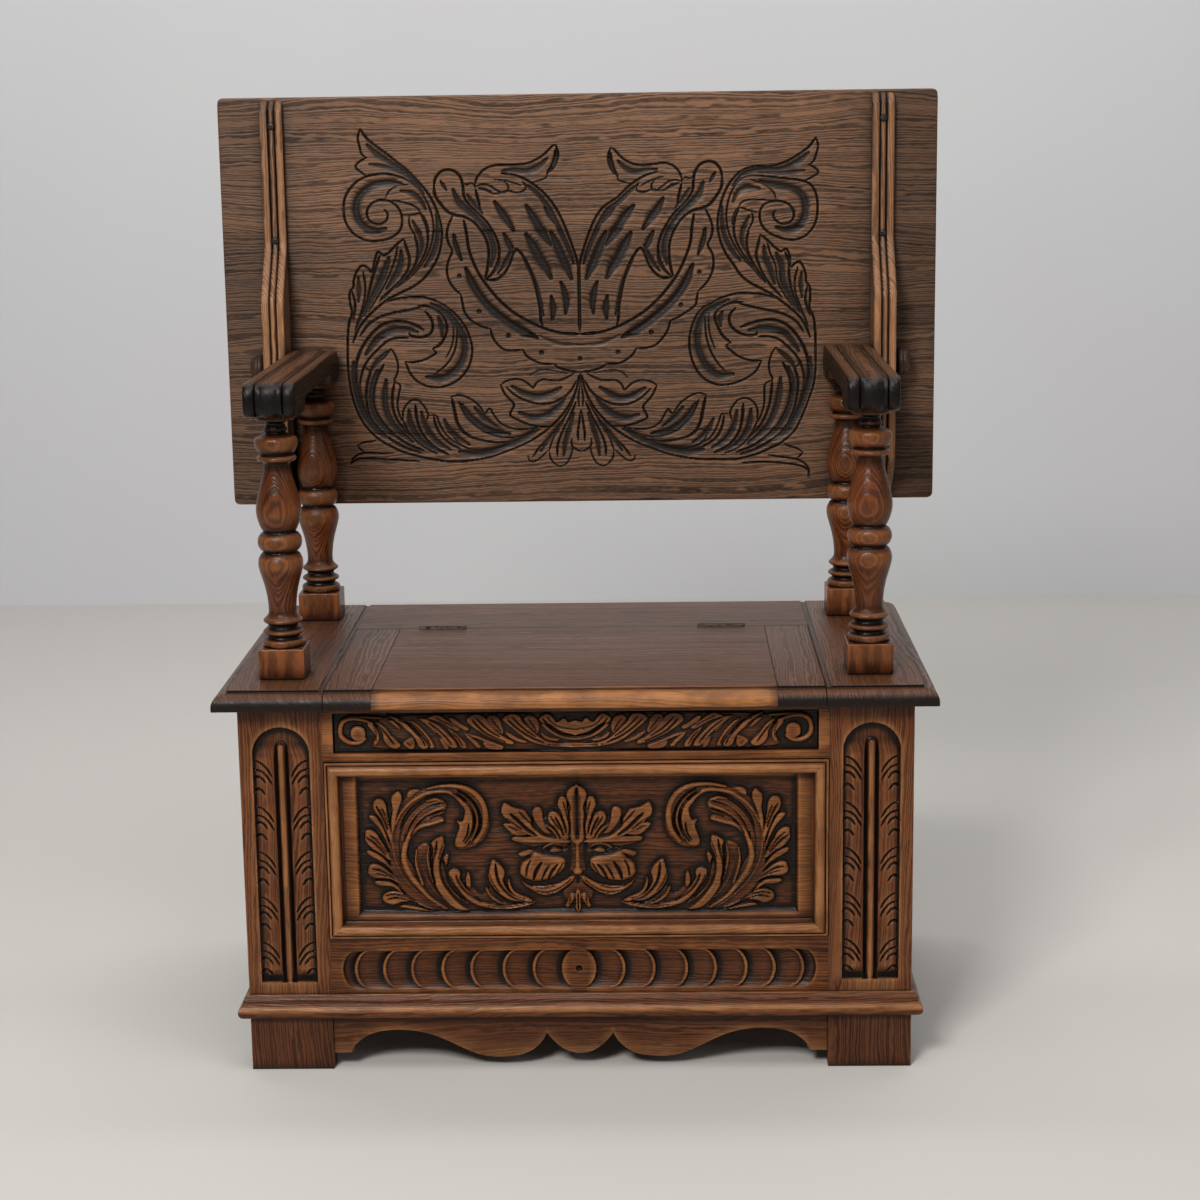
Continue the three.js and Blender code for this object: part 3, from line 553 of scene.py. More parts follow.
TOP_HOLLOWS = """
4.6 1.6 : -212,966 -228,968 -244,966 -257,959 -266,948 -268,935 -265,924 -257,915 -245,911 -233,913
4.0 1.4 : -252,1013 -240,1002 -224,991 -208,980 -196,968 -186,954
3.0 1.2 : -250,990 -236,988 -221,984 -208,976
3.4 1.4 : -171,930 -170,912 -172,895 -178,880 -187,867
3.6 1.4 : -213,958 -200,955 -190,947 -184,936
3.0 1.3 : -200,922 -192,905 -190,890 -195,875
4.4 1.5 : -230,878 -236,862 -244,845 -254,828 -264,808
4.0 1.4 : -215,886 -216,872 -223,856 -234,841
3.2 1.2 : -268,855 -268,840 -269,825
4.6 1.5 : -180,822 -164,812 -150,797 -142,780 -141,765 -146,750 -157,738 -172,731 -188,733
3.6 1.4 : -172,806 -168,794 -168,782
4.0 1.5 : -198,788 -212,791 -226,791 -240,786 -252,775 -262,761
3.4 1.3 : -236,764 -248,753 -258,739
5.0 1.6 : -277,752 -277,730 -273,708 -266,689 -254,672 -240,659
4.2 1.5 : -248,742 -256,722 -257,702 -252,684 -241,670 -226,658
4.0 1.5 : -238,730 -240,712 -239,694 -233,678 -222,665 -208,653
4.0 1.5 : -211,692 -210,678 -204,664 -194,652 -180,643
3.6 1.4 : -196,690 -193,676 -186,663 -175,651 -162,643
3.6 1.4 : -168,680 -162,668 -151,657 -138,649
4.6 1.5 : -146,698 -136,683 -122,672 -106,664 -88,661
4.0 1.4 : -130,694 -118,681 -104,671
4.6 1.5 : -150,640 -130,638 -110,641 -90,648 -70,657 -54,668
4.0 1.5 : -84,720 -70,712 -54,708 -38,711 -24,718
4.2 1.4 : -76,688 -60,682 -44,684 -30,693 -20,704
3.4 1.3 : -50,640 -42,652 -32,664 -22,677
3.2 1.3 : -22,634 -20,650 -15,668 -9,686
4.4 2.2 : -137,864 -127,841 -112,820 -93,803 -72,789 -52,779
3.2 1.8 : -151,905 -148,890 -142,874
2.4 0.8 : -50,782 -25,772 0,770
4.4 1.5 : -150,958 -144,945 -134,935 -123,925 -112,912 -105,898 -103,882 -107,866
3.6 1.3 : -133,952 -126,942 -116,930
4.8 1.9 : -100,943 -93,932 -85,920 -78,909
5.0 1.9 : -62,938 -55,926 -47,912 -38,898 -33,891
5.4 1.9 : -63,904 -55,890 -47,875 -39,862 -34,851
4.8 1.9 : -33,906 -26,890 -20,876 -14,862 -9,850
4.0 1.8 : -22,846 -18,835 -16,822 -17,808
4.0 1.8 : -34,829 -32,815 -33,801
3.8 1.7 : -90,905 -84,893 -80,882
3.6 1.6 : -40,936 -34,927 -28,917
3.6 1.4 : -90,980 -76,981 -60,980 -46,986 -36,994
3.4 1.4 : -96,877 -99,866 -104,858
2.8 1.5 : -64,964 -52,956 -42,945 -33,932 -26,918 -19,902 -12,886 -6,868
2.8 1.6 : -98,858 -91,867 -84,879 -79,890
2.4 1.3 : -66,873 -58,858 -52,842 -48,825 -44,806
2.6 2.2 : -26,1003 -27,992 -33,981
2.2 1.4 : -165,969 -162,964 -158,958
1.7 1.5 : -119,960 -112,958 -104,955
"""

# How the right half of the top differs from the left: (place, how far it is moved there).
TOP_RIGHT_SHIFTS = (
    ((261, 1033), (27, -19)), ((254, 998), (24, -14)), ((238, 928), (3, -8.5)), ((283, 932), (5, -8)),
    ((26, 1008), (17, -5)), ((60, 988), (8, -3)), ((120, 970), (2, 2)), ((168, 963), (0, 8)),
    ((283, 628), (-5, -17)), ((230, 640), (-3, -6)), ((0, 860), (0, 0)), ((0, 735), (0, 0)),
    ((0, 640), (0, 0)), ((157, 915), (2, 4)), ((131, 760), (3, 12)), ((230, 767), (8, -4)),
    ((211, 897), (11, 2)), ((160, 708), (-6, -2)), ((97, 723), (-6, -5)), ((60, 800), (0, 0)),
    ((284, 760), (2, 0)),
)
SHIFT_REACH = 38.0
LEAST_WEIGHT = 0.35
TOP_DOTS = np.array([(-150, 902), (-145, 855), (-122, 812), (-87, 782), (-47, 761), (0, 753)], float)
DOT_RADIUS = 3.0
DOT_DEPTH = 2.6
HOLLOW_DEEPER = 1.6
HOLLOW_WIDER = 1.95
LINE_DEEPER = 1.35
TOP_FIELD = (-292, 292, 614, 1040)


def by_hand(points):
    """Takes points of the left half to the right half, a little out of true as the carver left it."""
    moved = points * np.array([-1.0, 1.0])
    spots, shifts = np.array(TOP_RIGHT_SHIFTS, float).transpose(1, 0, 2)
    gaps = np.hypot(moved[:, None, 0] - spots[:, 0], moved[:, None, 1] - spots[:, 1])
    weights = np.exp(-(gaps / SHIFT_REACH) ** 2)
    total = np.maximum(weights.sum(1), LEAST_WEIGHT)
    return moved + (weights @ shifts) / total[:, None]


def top_carving(xs, zs):
    """The carved field of the top: scrolling leaves, a scalloped swag and two beaked heads."""
    X, Z = np.meshgrid(xs, zs)
    cut = np.zeros(X.shape)
    for hand in (np.array, by_hand):
        hollows, lines = (
            [(sizes, hand(points)) for sizes, points in lines_of(text)]
            for text in (TOP_HOLLOWS, TOP_LINES + TOP_FLOURISH)
        )
        cut = np.maximum(cut, HOLLOW_DEEPER * strokes(xs, zs, hollows, 16, HOLLOW_WIDER, rounded=True))
        cut = np.maximum(cut, LINE_DEEPER * strokes(xs, zs, lines, 7))
        for x, z in hand(TOP_DOTS):
            hole = np.clip(1.25 - np.hypot(X - x, Z - z) / DOT_RADIUS, 0, 1)
            cut = np.maximum(cut, DOT_DEPTH * hole)
    return -cut


PANEL_MASSES = """
-2.7 1.6 0.2 : -118,181 -140,180 -160,181 -176,188 -190,199 -201,213 -207,229 -209,247 -209,264 -207,282
  -202,296 -194,307 -184,315 -170,321 -155,325 -138,327 -121,325 -109,318 -101,308 -97,295 -96,282 -100,268
  -108,258 -119,253 -131,252 -136,256 -134,266 -130,276 -126,288 -125,298 -129,307 -138,313 -150,315
  -162,313 -173,307 -182,299 -189,288 -194,274 -196,258 -194,242 -188,228 -178,213 -165,199 -150,188
  -134,184
-2.6 1.6 0.2 : -197,262 -193,278 -184,293 -172,304 -159,310 -149,310 -143,304 -145,296 -150,291 -146,288
  -148,283 -160,280 -173,276 -181,268 -187,256 -187,244 -181,232 -176,220 -186,226 -193,238 -197,250
-3.0 1.4 0.2 : -178,252 -175,257 -166,260 -162,250 -163,230 -158,210 -146,194 -134,184 -150,184 -166,198
  -176,214 -181,232
-3.2 1.4 0.2 : -150,240 -146,226 -142,212 -130,196 -112,185 -90,181 -118,180 -140,184 -152,198 -156,214
  -154,230
-3.2 1.4 0.2 : -119,210 -108,200 -100,205 -99,214 -92,204 -80,193 -64,186 -50,187 -60,182 -84,180 -112,182
  -126,192 -128,204
-3.0 1.4 0.2 : -70,262 -40,266 -10,264 0,262 0,226 -8,226 -14,232 -12,246 -22,248 -40,252 -58,256
-3.4 1.4 0.2 : 3,222 -6,222 -12,214 -17,204 -16,196 -11,190 -4,187 3,187
-3.4 1.4 0.2 : 3,298 -12,300 -24,292 -36,288 -46,288 -50,276 -36,264 -10,262 3,262
"""

PANEL_LEAVES = """
-0.5 1.5 0.3 : -225,301 -224,308 -219,312 -213,310 -209,303 -208,292 -206,280 -203,266 -206,258 -209,266
  -213,277 -217,287 -222,294
-0.4 1.5 0.3 : -205,311 -201,317 -196,320 -192,315 -192,308 -195,300 -198,290 -201,276 -205,268 -206,284
  -204,298
-0.8 1.3 0.3 : -230,291 -226,293 -221,291 -218,287 -214,280 -211,273 -208,262 -205,248 -208,252 -212,262
  -216,271 -221,279 -227,286
-0.4 1.6 0.4 : -235,270 -234,275 -228,276 -221,272 -217,265 -213,258 -209,250 -205,240 -209,240 -214,244
  -219,248 -226,252 -231,257 -235,263
-0.8 1.3 0.3 : -234,251 -231,253 -225,251 -218,247 -212,241 -206,232 -201,224 -205,226 -211,233 -218,238
  -226,243 -232,247
-0.4 1.6 0.4 : -233,230 -230,236 -223,237 -215,233 -208,227 -200,219 -197,212 -206,217 -214,219 -222,219
  -229,221 -233,225
-0.9 1.3 0.3 : -226,214 -224,217 -216,217 -208,216 -200,211 -195,204 -192,199 -199,204 -206,209 -214,210
  -222,211
-0.5 1.5 0.4 : -218,196 -216,201 -209,205 -200,205 -191,200 -182,194 -172,189 -162,185 -158,182 -168,184
  -178,189 -188,192 -197,191 -205,188 -211,189 -216,192
-1.4 1.2 0.2 : -200,186 -194,189 -186,188 -176,186 -166,183 -158,181 -166,180 -178,182 -190,184
-1.6 1.2 0.2 : -187,317 -183,321 -176,322 -170,320 -176,317 -182,312 -187,312
-0.2 1.5 0.3 : -162,260 -158,264 -153,267 -148,267 -146,260 -147,253 -150,246 -152,238 -152,226 -149,214
  -143,204 -135,194 -126,186 -119,182 -130,181 -141,186 -150,196 -157,207 -161,220 -162,232 -161,244
  -160,252
-0.8 1.2 0.2 : -149,243 -145,248 -142,246 -143,240 -145,233 -148,238
-0.3 1.5 0.3 : -144,225 -142,229 -137,231 -131,229 -129,224 -130,219 -127,213 -122,206 -116,199 -108,193
  -98,190 -90,189 -100,186 -112,187 -121,192 -129,200 -136,208 -141,216
-0.7 1.2 0.2 : -125,218 -122,227 -119,223 -118,214 -119,207 -124,210
-0.2 1.5 0.3 : -95,240 -89,238 -83,232 -80,225 -82,216 -79,208 -73,201 -63,196 -51,194 -51,191 -64,191
  -76,193 -86,199 -94,207 -99,217 -99,226
-0.7 1.2 0.2 : -78,218 -76,220 -74,212 -71,205 -64,200 -54,196 -54,194 -66,196 -74,202 -78,210
-0.5 1.2 0.2 : -103,206 -101,209 -97,203 -91,197 -84,192 -76,188 -84,188 -93,192 -100,199
-0.4 1.4 0.3 : -112,187 -100,189 -88,188 -76,188 -62,190 -47,191 -54,187 -66,184 -80,182 -96,183
-0.2 1.5 0.2 : -126,305 -124,297 -125,290 -127,285 -133,285 -131,281 -131,276 -134,268 -136,258 -130,254
  -122,256 -117,265 -114,277 -113,290 -115,300 -120,308
-0.2 1.8 0.3 : 3,325.5 -2,325 -7,322.5 -11,318 -12,311 -9.5,305 -8,299 -9,292 -8,280 -8,262 3,262
-0.4 1.4 0.3 : -21.5,306 -19,312 -14,313 -10.5,309 -10,300 -9,290 -8,272 -11,266 -14,274 -16,284 -18,294
  -21.5,301
-0.3 1.4 0.3 : -33,288 -31,294 -26,296 -21,294 -17,289 -14,281 -11,272 -8,265 -14,261 -19,265 -22,271
  -26,277 -31,282
-0.7 1.2 0.2 : -36,279 -33,280 -27,277 -22,271 -18,263 -22,262 -25,268 -30,274
-1.2 1.8 0.3 : -50,295 -46,300 -40,300 -37,294 -36,286 -32,276 -27,269 -35,269 -41,274 -46,281 -49,288
-0.3 1.5 0.3 : -81,305 -77,305 -70,301 -63,299 -57,297 -53,291 -50,286 -49,279 -44,274 -36,268 -26,265
  -16,262 -26,261 -40,263 -52,267 -62,272 -70,277 -76,284 -82,290 -84,297
-0.8 1.3 0.2 : -82,281 -78,283 -70,281 -62,275 -54,269 -62,267 -70,268 -76,273 -80,277
-0.5 1.3 0.2 : -73,264 -70,267 -60,267 -45,267 -30,266 -12,264 -6,260 -14,258 -30,259 -50,259 -64,260 -70,261
-1.6 1.2 0.2 : -66,247 -60,250 -52,252 -47,251 -50,247 -56,244 -63,243
-0.3 5.0 0.5 : -65,228 -62,237 -55,243 -50,250 -44,251 -36,248 -27,246 -19,244 -12,240 -13,232 -18,225
  -26,219 -36,215 -48,214 -58,217 -64,222
-0.5 1.7 0.2 : -63,217 -58,213 -50,210 -40,210 -30,211 -22,213 -14,217 -8,221 -3,220 -7,213 -16,206 -26,200
  -36,198 -46,201 -54,206 -60,211
-0.8 1.3 0.2 : 3,205 -2,205 -4,198 -3,191 -4,185 -2,179 3,178
-1.0 1.3 0.2 : -3,200 -8,202 -11,197 -13,190 -15,186 -11,184 -7,189 -4,194
"""

PANEL_RIDGES = """
4.7 2.0 3.4 3.8 4.8 3.2 1.6 : -148,286 -162,282 -176,278 -186,268 -191,254 -192,240 -186,224 -176,210
  -164,196 -146,184
4.3 1.4 2.2 2.0 : -178,251 -179,240 -177,228 -172,212
4.6 1.6 2.6 2.8 2.6 3.4 : -200,282 -195,293 -187,303 -177,311 -165,317 -151,319 -140,318 -131,312 -123,302
4.3 1.0 1.7 1.8 1.6 : -132,319 -122,312 -114,302 -110,290 -111,277 -117,263
4.6 1.8 3.0 3.6 4.0 3.2 : -164,322 -150,325 -134,325 -119,321 -108,312 -102,300 -101,286 -104,273 -113,260
4.2 1.2 2.0 2.2 1.8 : -189,270 -184,283 -175,294 -164,302 -152,307
4.4 1.4 2.6 2.8 2.4 : -182,272 -177,282 -168,290 -157,297 -147,301
4.3 1.2 1.8 2.0 : -166,308 -155,310 -147,307
4.2 1.2 1.9 1.8 1.2 : -164,256 -166,244 -164,229 -160,214
3.4 1.0 1.8 1.8 1.4 1.0 : -203,288 -204,268 -203,248 -198,231 -189,215 -177,202 -162,190 -146,182
3.4 0.8 1.4 1.2 : -200,246 -194,230 -184,215 -170,201 -154,189
3.2 0.8 1.5 1.2 : -173,248 -172,234 -167,218 -158,203 -146,192
3.2 0.8 1.4 1.0 : -150,222 -144,210 -134,198 -122,189
"""

PANEL_LINES = """
1.3 2.8 : -136,317 -126,311 -118,302 -114,291 -114,280 -118,268 -124,260
1.3 2.8 : -131,320 -120,313 -111,302 -107,290 -107,278 -113,265
1.2 2.4 : -148,306 -160,303 -171,297 -180,287 -187,275 -191,262
1.6 2.8 : -146,297 -157,294 -168,289 -177,280 -184,268
1.1 2.2 : -147,292 -156,290 -162,287
1.3 2.6 : -158,313 -170,308 -181,300 -190,289 -195,276
1.3 2.6 : -221,303 -217,296 -213,287 -209,276
1.1 2.2 : -215,301 -211,291 -208,280
1.3 2.6 : -233,267 -226,262 -219,255 -212,247
1.1 2.2 : -229,270 -222,264 -216,256 -210,248
1.3 2.6 : -227,231 -219,229 -210,224 -202,218
1.0 2.0 : -223,226 -214,223 -207,221
1.2 2.4 : -213,200 -203,201 -192,198 -180,192
1.2 2.4 : -211,196 -200,197 -189,194 -178,190
1.4 2.8 : -155,262 -157,250 -160,239 -161,226 -158,212
1.0 2.0 : -147,262 -151,250 -154,240
1.3 2.6 : -135,223 -132,214 -126,205 -118,198 -108,192
1.0 2.0 : -141,222 -137,212 -130,203
1.4 2.8 : -91,236 -90,224 -87,213 -80,203 -70,195 -58,192
1.0 2.0 : -98,224 -94,212 -87,203
0.9 1.8 : -98,202 -90,195 -82,190
1.0 1.8 : -100,187 -84,185 -66,187 -54,189
1.2 2.4 : -119,282 -121,270 -126,262
1.9 3.4 : -73,293 -64,284 -55,275 -45,268
1.1 2.2 : -64,296 -57,288 -48,279
1.1 2.2 : -78,288 -70,282 -61,275
1.0 2.0 : -76,279 -66,274
1.3 2.6 : -24,289 -19,279 -15,268
1.1 2.2 : -18,291 -14,281 -12,271
1.0 2.0 : -29,290 -25,283 -20,275
1.0 2.0 : -15,307 -12,296 -9,282
2.0 3.2 : -49,217 -46,227 -40,237
1.6 2.8 : -33,217 -28,227 -22,235
1.4 2.2 : -57,221 -56,231 -52,239
1.2 2.2 : -40,217 -36,226 -31,234
1.1 2.0 : -24,221 -20,229 -16,236
1.2 2.2 : -58,214 -48,208 -36,207 -24,210
1.2 2.2 : -48,204 -36,202 -24,205 -14,211 -7,218
1.0 2.0 : -34,200 -24,201 -14,207 -6,214
1.0 2.0 : 0,200 0,190 0,182
1.0 1.8 : -9,199 -9,192 -11,187
"""

PANEL_HOLLOWS = """
4.2 3.4 : 0,321 0,305 0,285 0,264
5.0 2.6 : -9,258 -9,246 -10,234 -11,227
5.6 2.8 : -48,252 -36,251 -24,251 -12,253
3.0 1.6 : 0,220 0,212
2.4 1.6 : -20,216 -12,221 -6,224
"""

PANEL_LAST = """
-1.9 2.0 0.2 : -32,249.5 -29,252.5 -25,253.5 -20,252.5 -16,250.5 -21,247.8 -26,247 -30,247.5
-1.7 0.9 0.1 : -38,251 -32,255 -25,256.6 -18,255 -12,252 -13,254.5 -18,258 -25,260 -32,258.5 -39,254
-0.2 2.4 0.2 : 3,266 -2.6,264 -2.7,250 -2.9,238 -3.4,231 3,231
0 3.4 0.3 : 3,233 -3,232 -5.2,229 -5.8,225 -4,222 0,221 3,221
"""

PANEL_FIELD = (-245, 245, 175.5, 341)
TOOL_CELL = (7.0, 3.0)
TOOL_DEPTH = 0.22


def tool_marks(xs, zs):
    """Uneven marks of the tools on a sunk ground."""
    dice = np.random.default_rng(11).uniform(-TOOL_DEPTH, TOOL_DEPTH, (200, 200))
    u, v = np.abs(xs) / TOOL_CELL[0], np.abs(zs) / TOOL_CELL[1]
    i, j = u.astype(int) % 199, v.astype(int) % 199
    s, t = ramp(u % 1, 0, 1)[None, :], ramp(v % 1, 0, 1)[:, None]
    near = dice[np.ix_(j, i)] * (1 - s) + dice[np.ix_(j, i + 1)] * s
    far = dice[np.ix_(j + 1, i)] * (1 - s) + dice[np.ix_(j + 1, i + 1)] * s
    return near * (1 - t) + far * t


def panel_carving(xs, zs):
    """The chest panel: leaf scrolls and a leaf mask that stand on a sunk ground."""
    low_x, _, low_z, high_z = PANEL_FIELD

    def left_half(left):
        X, Z = np.meshgrid(left, zs)
        inside = np.minimum(ramp(X, low_x, low_x + 6), ramp(Z, high_z, high_z - 10))
        inside = np.minimum(inside, ramp(Z, low_z, low_z + 7))
        ground = (CARVED_GROUND + tool_marks(left, zs)) * inside
        height = carved_relief(
            left, zs, ground, PANEL_MASSES + PANEL_LEAVES, PANEL_RIDGES,
            (PANEL_LINES, 7), (PANEL_HOLLOWS, 14),
        )
        return leaves(height, left, zs, PANEL_LAST)
    return both_sides(xs, left_half)


FRIEZE_MASSES = """
-3.1 1.6 0.2 : -214,404 -190,408 -160,409 -120,410 -60,410 3,410 3,367 -60,367 -160,367 -200,368 -222,372
  -218,384
"""

FRIEZE_LEAVES = """
-0.3 1.4 0.3 : -246,388 -244,394 -238,397 -231,395 -228,389 -229,383 -234,379 -240,379 -245,383
-0.6 1.2 0.3 : -227,400 -221,399 -216,393 -213,386 -214,379 -218,374 -221,377 -218,383 -221,389 -226,395
-0.5 1.2 0.3 : -218,401 -211,399 -205,393 -200,386 -194,380 -190,375 -192,371 -199,370 -206,374 -210,381
  -211,388 -215,395
-0.9 1.2 0.3 : -205,403 -198,403 -192,397 -189,391 -193,392 -199,397
-0.4 1.2 0.3 : -205,409 -196,407 -189,404 -184,400 -178,394 -172,388 -166,382 -161,376 -160,371 -166,369
  -172,373 -175,380 -179,386 -185,391 -190,397 -197,402
-0.9 1.2 0.3 : -189,377 -183,382 -176,383 -174,376 -176,370 -181,369 -187,373
-0.8 1.2 0.3 : -180,403 -172,399 -165,392 -159,384 -155,377 -153,371 -159,370 -162,377 -168,385 -175,394
-0.9 1.2 0.3 : -168,402 -160,399 -153,392 -151,386 -156,388 -162,395
-0.5 1.2 0.3 : -172,405 -163,405 -155,401 -148,397 -142,391 -136,385 -130,378 -128,371 -135,370 -141,375
  -147,383 -153,389 -159,394 -165,399
-1.0 1.2 0.3 : -149,382 -143,381 -138,375 -138,369 -143,369 -146,374
-0.9 1.3 0.4 : -162,404 -154,409 -146,408 -139,403 -131,397 -124,391 -130,389 -138,393 -146,398 -154,401
-0.8 1.2 0.3 : -140,394 -131,389 -125,383 -119,376 -118,370 -125,370 -129,377 -135,385
-0.9 1.2 0.3 : -138,405 -133,406 -124,399 -115,393 -118,389 -127,393 -135,399
-0.8 1.1 0.2 : -122,388 -114,384 -107,378 -102,371 -107,370 -112,375 -118,381
-0.7 1.1 0.2 : -122,388 -110,386 -98,381 -88,377 -78,373 -80,370 -92,374 -104,379 -114,383
-0.9 1.1 0.2 : -101,378 -90,375 -78,372 -80,368 -92,368 -99,371
-0.4 1.3 0.3 : -119,402 -116,407 -108,410 -99,407 -94,401 -89,394 -83,388 -76,383 -67,378 -68,373 -80,376
  -92,381 -102,386 -110,391 -116,396
-0.9 1.3 0.4 : -97,403 -94,408 -86,408 -81,403 -79,396 -77,388 -80,385 -87,390 -94,396
-0.3 1.3 0.3 : -80,403 -75,408 -67,410 -60,407 -56,400 -50,394 -44,388 -37,382 -29,378 -18,376 3,376 3,370
  -10,370 -28,371 -42,374 -53,379 -61,385 -68,391 -75,397
-0.9 1.1 0.2 : -78,389 -70,387 -62,382 -52,378 -54,375 -64,377 -73,382
-0.9 1.3 0.4 : -57,403 -52,408 -45,407 -40,402 -38,393 -41,385 -47,390 -53,396
-1.0 1.1 0.2 : -38,389 -32,385 -26,382 -16,380 -20,377 -30,378 -37,383
-0.2 1.3 0.3 : -40,402 -37,407 -30,410 -24,406 -20,400 -16,402 -13,405 -9,403 -7,400 3,401 3,384 -6,385
  -14,387 -21,391 -28,396 -35,397
-1.0 1.2 0.3 : -38,396 -34,398 -28,393 -20,387 -12,383 3,381 3,378 -10,379 -20,382 -30,388
"""

FRIEZE_RIDGES = """
4.5 1.8 2.8 3.2 3.3 3.2 2.6 : -221,399 -231,403 -243,405 -252,402 -256,395 -256,386 -251,380 -243,377
  -235,378 -230,382
3.2 1.6 2.2 2.0 : -246,407 -228,406 -212,405
"""

FRIEZE_LINES = """
1.0 2.2 : -216,398 -209,391 -203,383 -198,376
0.8 1.6 : -220,396 -217,388 -217,380
1.0 2.2 : -192,403 -182,398 -175,390 -168,382 -164,374
0.9 2.0 : -176,398 -168,389 -161,380 -158,373
0.9 2.0 : -160,400 -150,392 -142,384 -135,375
0.8 1.6 : -165,399 -158,393 -154,388
0.8 1.6 : -152,405 -142,400 -132,394
0.9 1.8 : -134,388 -127,380 -123,373
1.1 2.4 : -112,402 -105,394 -97,387 -86,381 -76,377
0.9 2.0 : -107,404 -100,396 -92,389 -82,383
0.8 1.6 : -117,399 -110,392 -101,387
0.8 1.6 : -91,403 -86,396 -81,390
1.1 2.4 : -73,402 -65,394 -56,387 -46,381 -34,376
0.9 2.0 : -68,405 -61,397 -52,389 -43,383
0.8 1.6 : -51,403 -46,396 -42,389
1.2 2.6 : -35,403 -29,395 -21,389 -12,385 0,383
0.8 1.6 : -30,405 -23,397 -14,393 0,391
0.8 1.6 : -30,374 -15,373 0,373
0.8 1.6 : -184,378 -180,374
"""

FRIEZE_FIELD = (-265, 265, 365.5, 411.5)


def frieze_carving(xs, zs):
    """The top rail: slanting leaves between two curls, in a sunk field."""
    low_x, _, low_z, high_z = FRIEZE_FIELD

    def left_half(left):
        X, Z = np.meshgrid(left, zs)
        inside = np.minimum(np.minimum(X - low_x, high_z - Z), Z - low_z)
        ground = CARVED_GROUND * ramp(inside, 0, 1.8)
        height = carved_relief(
            left, zs, ground, FRIEZE_MASSES + FRIEZE_LEAVES, FRIEZE_RIDGES, (FRIEZE_LINES, 7),
        )
        return np.where(inside > 0, height, 0)
    return both_sides(xs, left_half)


LUNETTE_PLACES = (-263, -249.5, -218, -187, -153, -121, -85, -51.5, -19)
LUNETTE_MIDDLE = 116.8
LUNETTE_HEIGHT = 21.8
LUNETTE_BOW = 15.5
BOSS_SIZE = (19.5, 21.5)
SCALE_LEAST = 2.6
SCALE_SINKING = 3.4
SCALE_GAP = 2.6


def lunette_carving(xs, zs):
    """The bottom rail: scooped scales that lap outwards from a round boss."""
    def left_half(left):
        X, Z = np.meshgrid(left, zs - LUNETTE_MIDDLE)
        rise = np.clip(np.abs(Z) / LUNETTE_HEIGHT, 0, 1)
        bow = LUNETTE_BOW * (1 - np.sqrt(1 - rise ** 2 * 0.98))
        height = np.zeros(X.shape)
        inside = np.abs(Z) < LUNETTE_HEIGHT
        for left_edge, right_edge in zip(LUNETTE_PLACES, LUNETTE_PLACES[1:]):
            start, end = left_edge + bow, right_edge + bow
            share = np.clip((X - start) / (end - start), 0, 1)
            gap = 0 if left_edge == LUNETTE_PLACES[0] else SCALE_GAP
            floor = -SCALE_LEAST - SCALE_SINKING * share ** 1.5
            rib = ramp(X - start - gap, 0, 1.8) * (1 - 0.98 * ramp(X - end, -1.2, 0))
            scoop = floor * rib * np.sqrt(np.clip(1 - rise ** 2.6, 0, 1))
            height = np.where(inside & (X >= start) & (X < end), scoop, height)
        hole = np.clip(1.3 - np.hypot(X, Z) / 3.2, 0, 1)
        boss = (X / BOSS_SIZE[0]) ** 2 + (Z / BOSS_SIZE[1]) ** 2 < 1
        return np.where(boss, -3.5 * hole - 0.3, height)
    return both_sides(xs, left_half)


STILE_MIDDLE = 322.5
STILE_FIELD = (291, 354, 103, 396)
ROD_TOP = 376
ROD_RADIUS = 3.9
TRENCH_MIDDLE = 6
# Cuts from the edge of a stile's field, repeated down it: x from its middle, z over each height below.
STILE_MARKS = """
1.5 2.6 : -28.5,1 -22,-2 -16,-8 -11,-17
1.5 2.6 : -30,-9 -22,-11 -16,-17 -11,-26
2.0 2.6 : -31,-20 -27,-17 -22,-19 -18,-24
2.0 2.6 : -31,-34 -27,-31 -23,-32 -19,-37
"""
STILE_MARK_TOPS = (357, 305, 253, 201, 148)


def stile_carving(xs, zs):
    """A front stile: an arch-headed sunk field with a rod down its middle and leaf cuts beside it."""
    low_x, high_x, low_z, high_z = STILE_FIELD
    radius = (high_x - low_x) / 2
    offset = xs - STILE_MIDDLE
    X, Z = np.meshgrid(offset, zs)
    spring = high_z - radius
    inside = np.where(Z > spring, radius - np.hypot(X, Z - spring), radius - np.abs(X))
    inside = np.minimum(inside, Z - low_z)
    swell = np.sin(np.clip((np.abs(X) - 7) / (radius - 7), 0, 1) * math.pi)
    ends = np.maximum(ramp(Z, spring - 8, spring + 14), ramp(Z, low_z + 16, low_z + 2))
    floor = -3.6 + 2.6 * swell * (1 - ends) - 1.6 * ends
    height = floor * ramp(inside, 0, 1.6)
    rod_gap = np.where(Z > ROD_TOP - 3.5, np.hypot(X, Z - ROD_TOP + 3.5), np.abs(X))
    trench = np.clip(1 - np.abs(rod_gap - TRENCH_MIDDLE) / 3.0, 0, 1)
    in_trench = (Z > low_z) & (inside > 0)
    height = np.where(in_trench, np.minimum(height, -6.4 * np.sqrt(trench)), height)
    rod = np.clip(1 - (rod_gap / ROD_RADIUS) ** 2, 0, 1)
    height = np.where((rod > 0) & in_trench, -5.2 + 4.6 * np.sqrt(rod), height)
    rows = [(sizes, points + (0, top)) for top in STILE_MARK_TOPS for sizes, points in lines_of(STILE_MARKS)]
    cut = both_sides(offset, lambda half: strokes(half, zs, rows, 5))
    return height - cut * (inside > -2)


# ---------------------------------------------------------------- finishes


def wired(tree, made, inputs):
    """Joins outputs to a node's inputs, or sets plain values on them."""
    for key, source in inputs.items():
        if isinstance(source, bpy.types.NodeSocket):
            tree.links.new(source, made.inputs[key])
        else:
            made.inputs[key].default_value = source
    return made


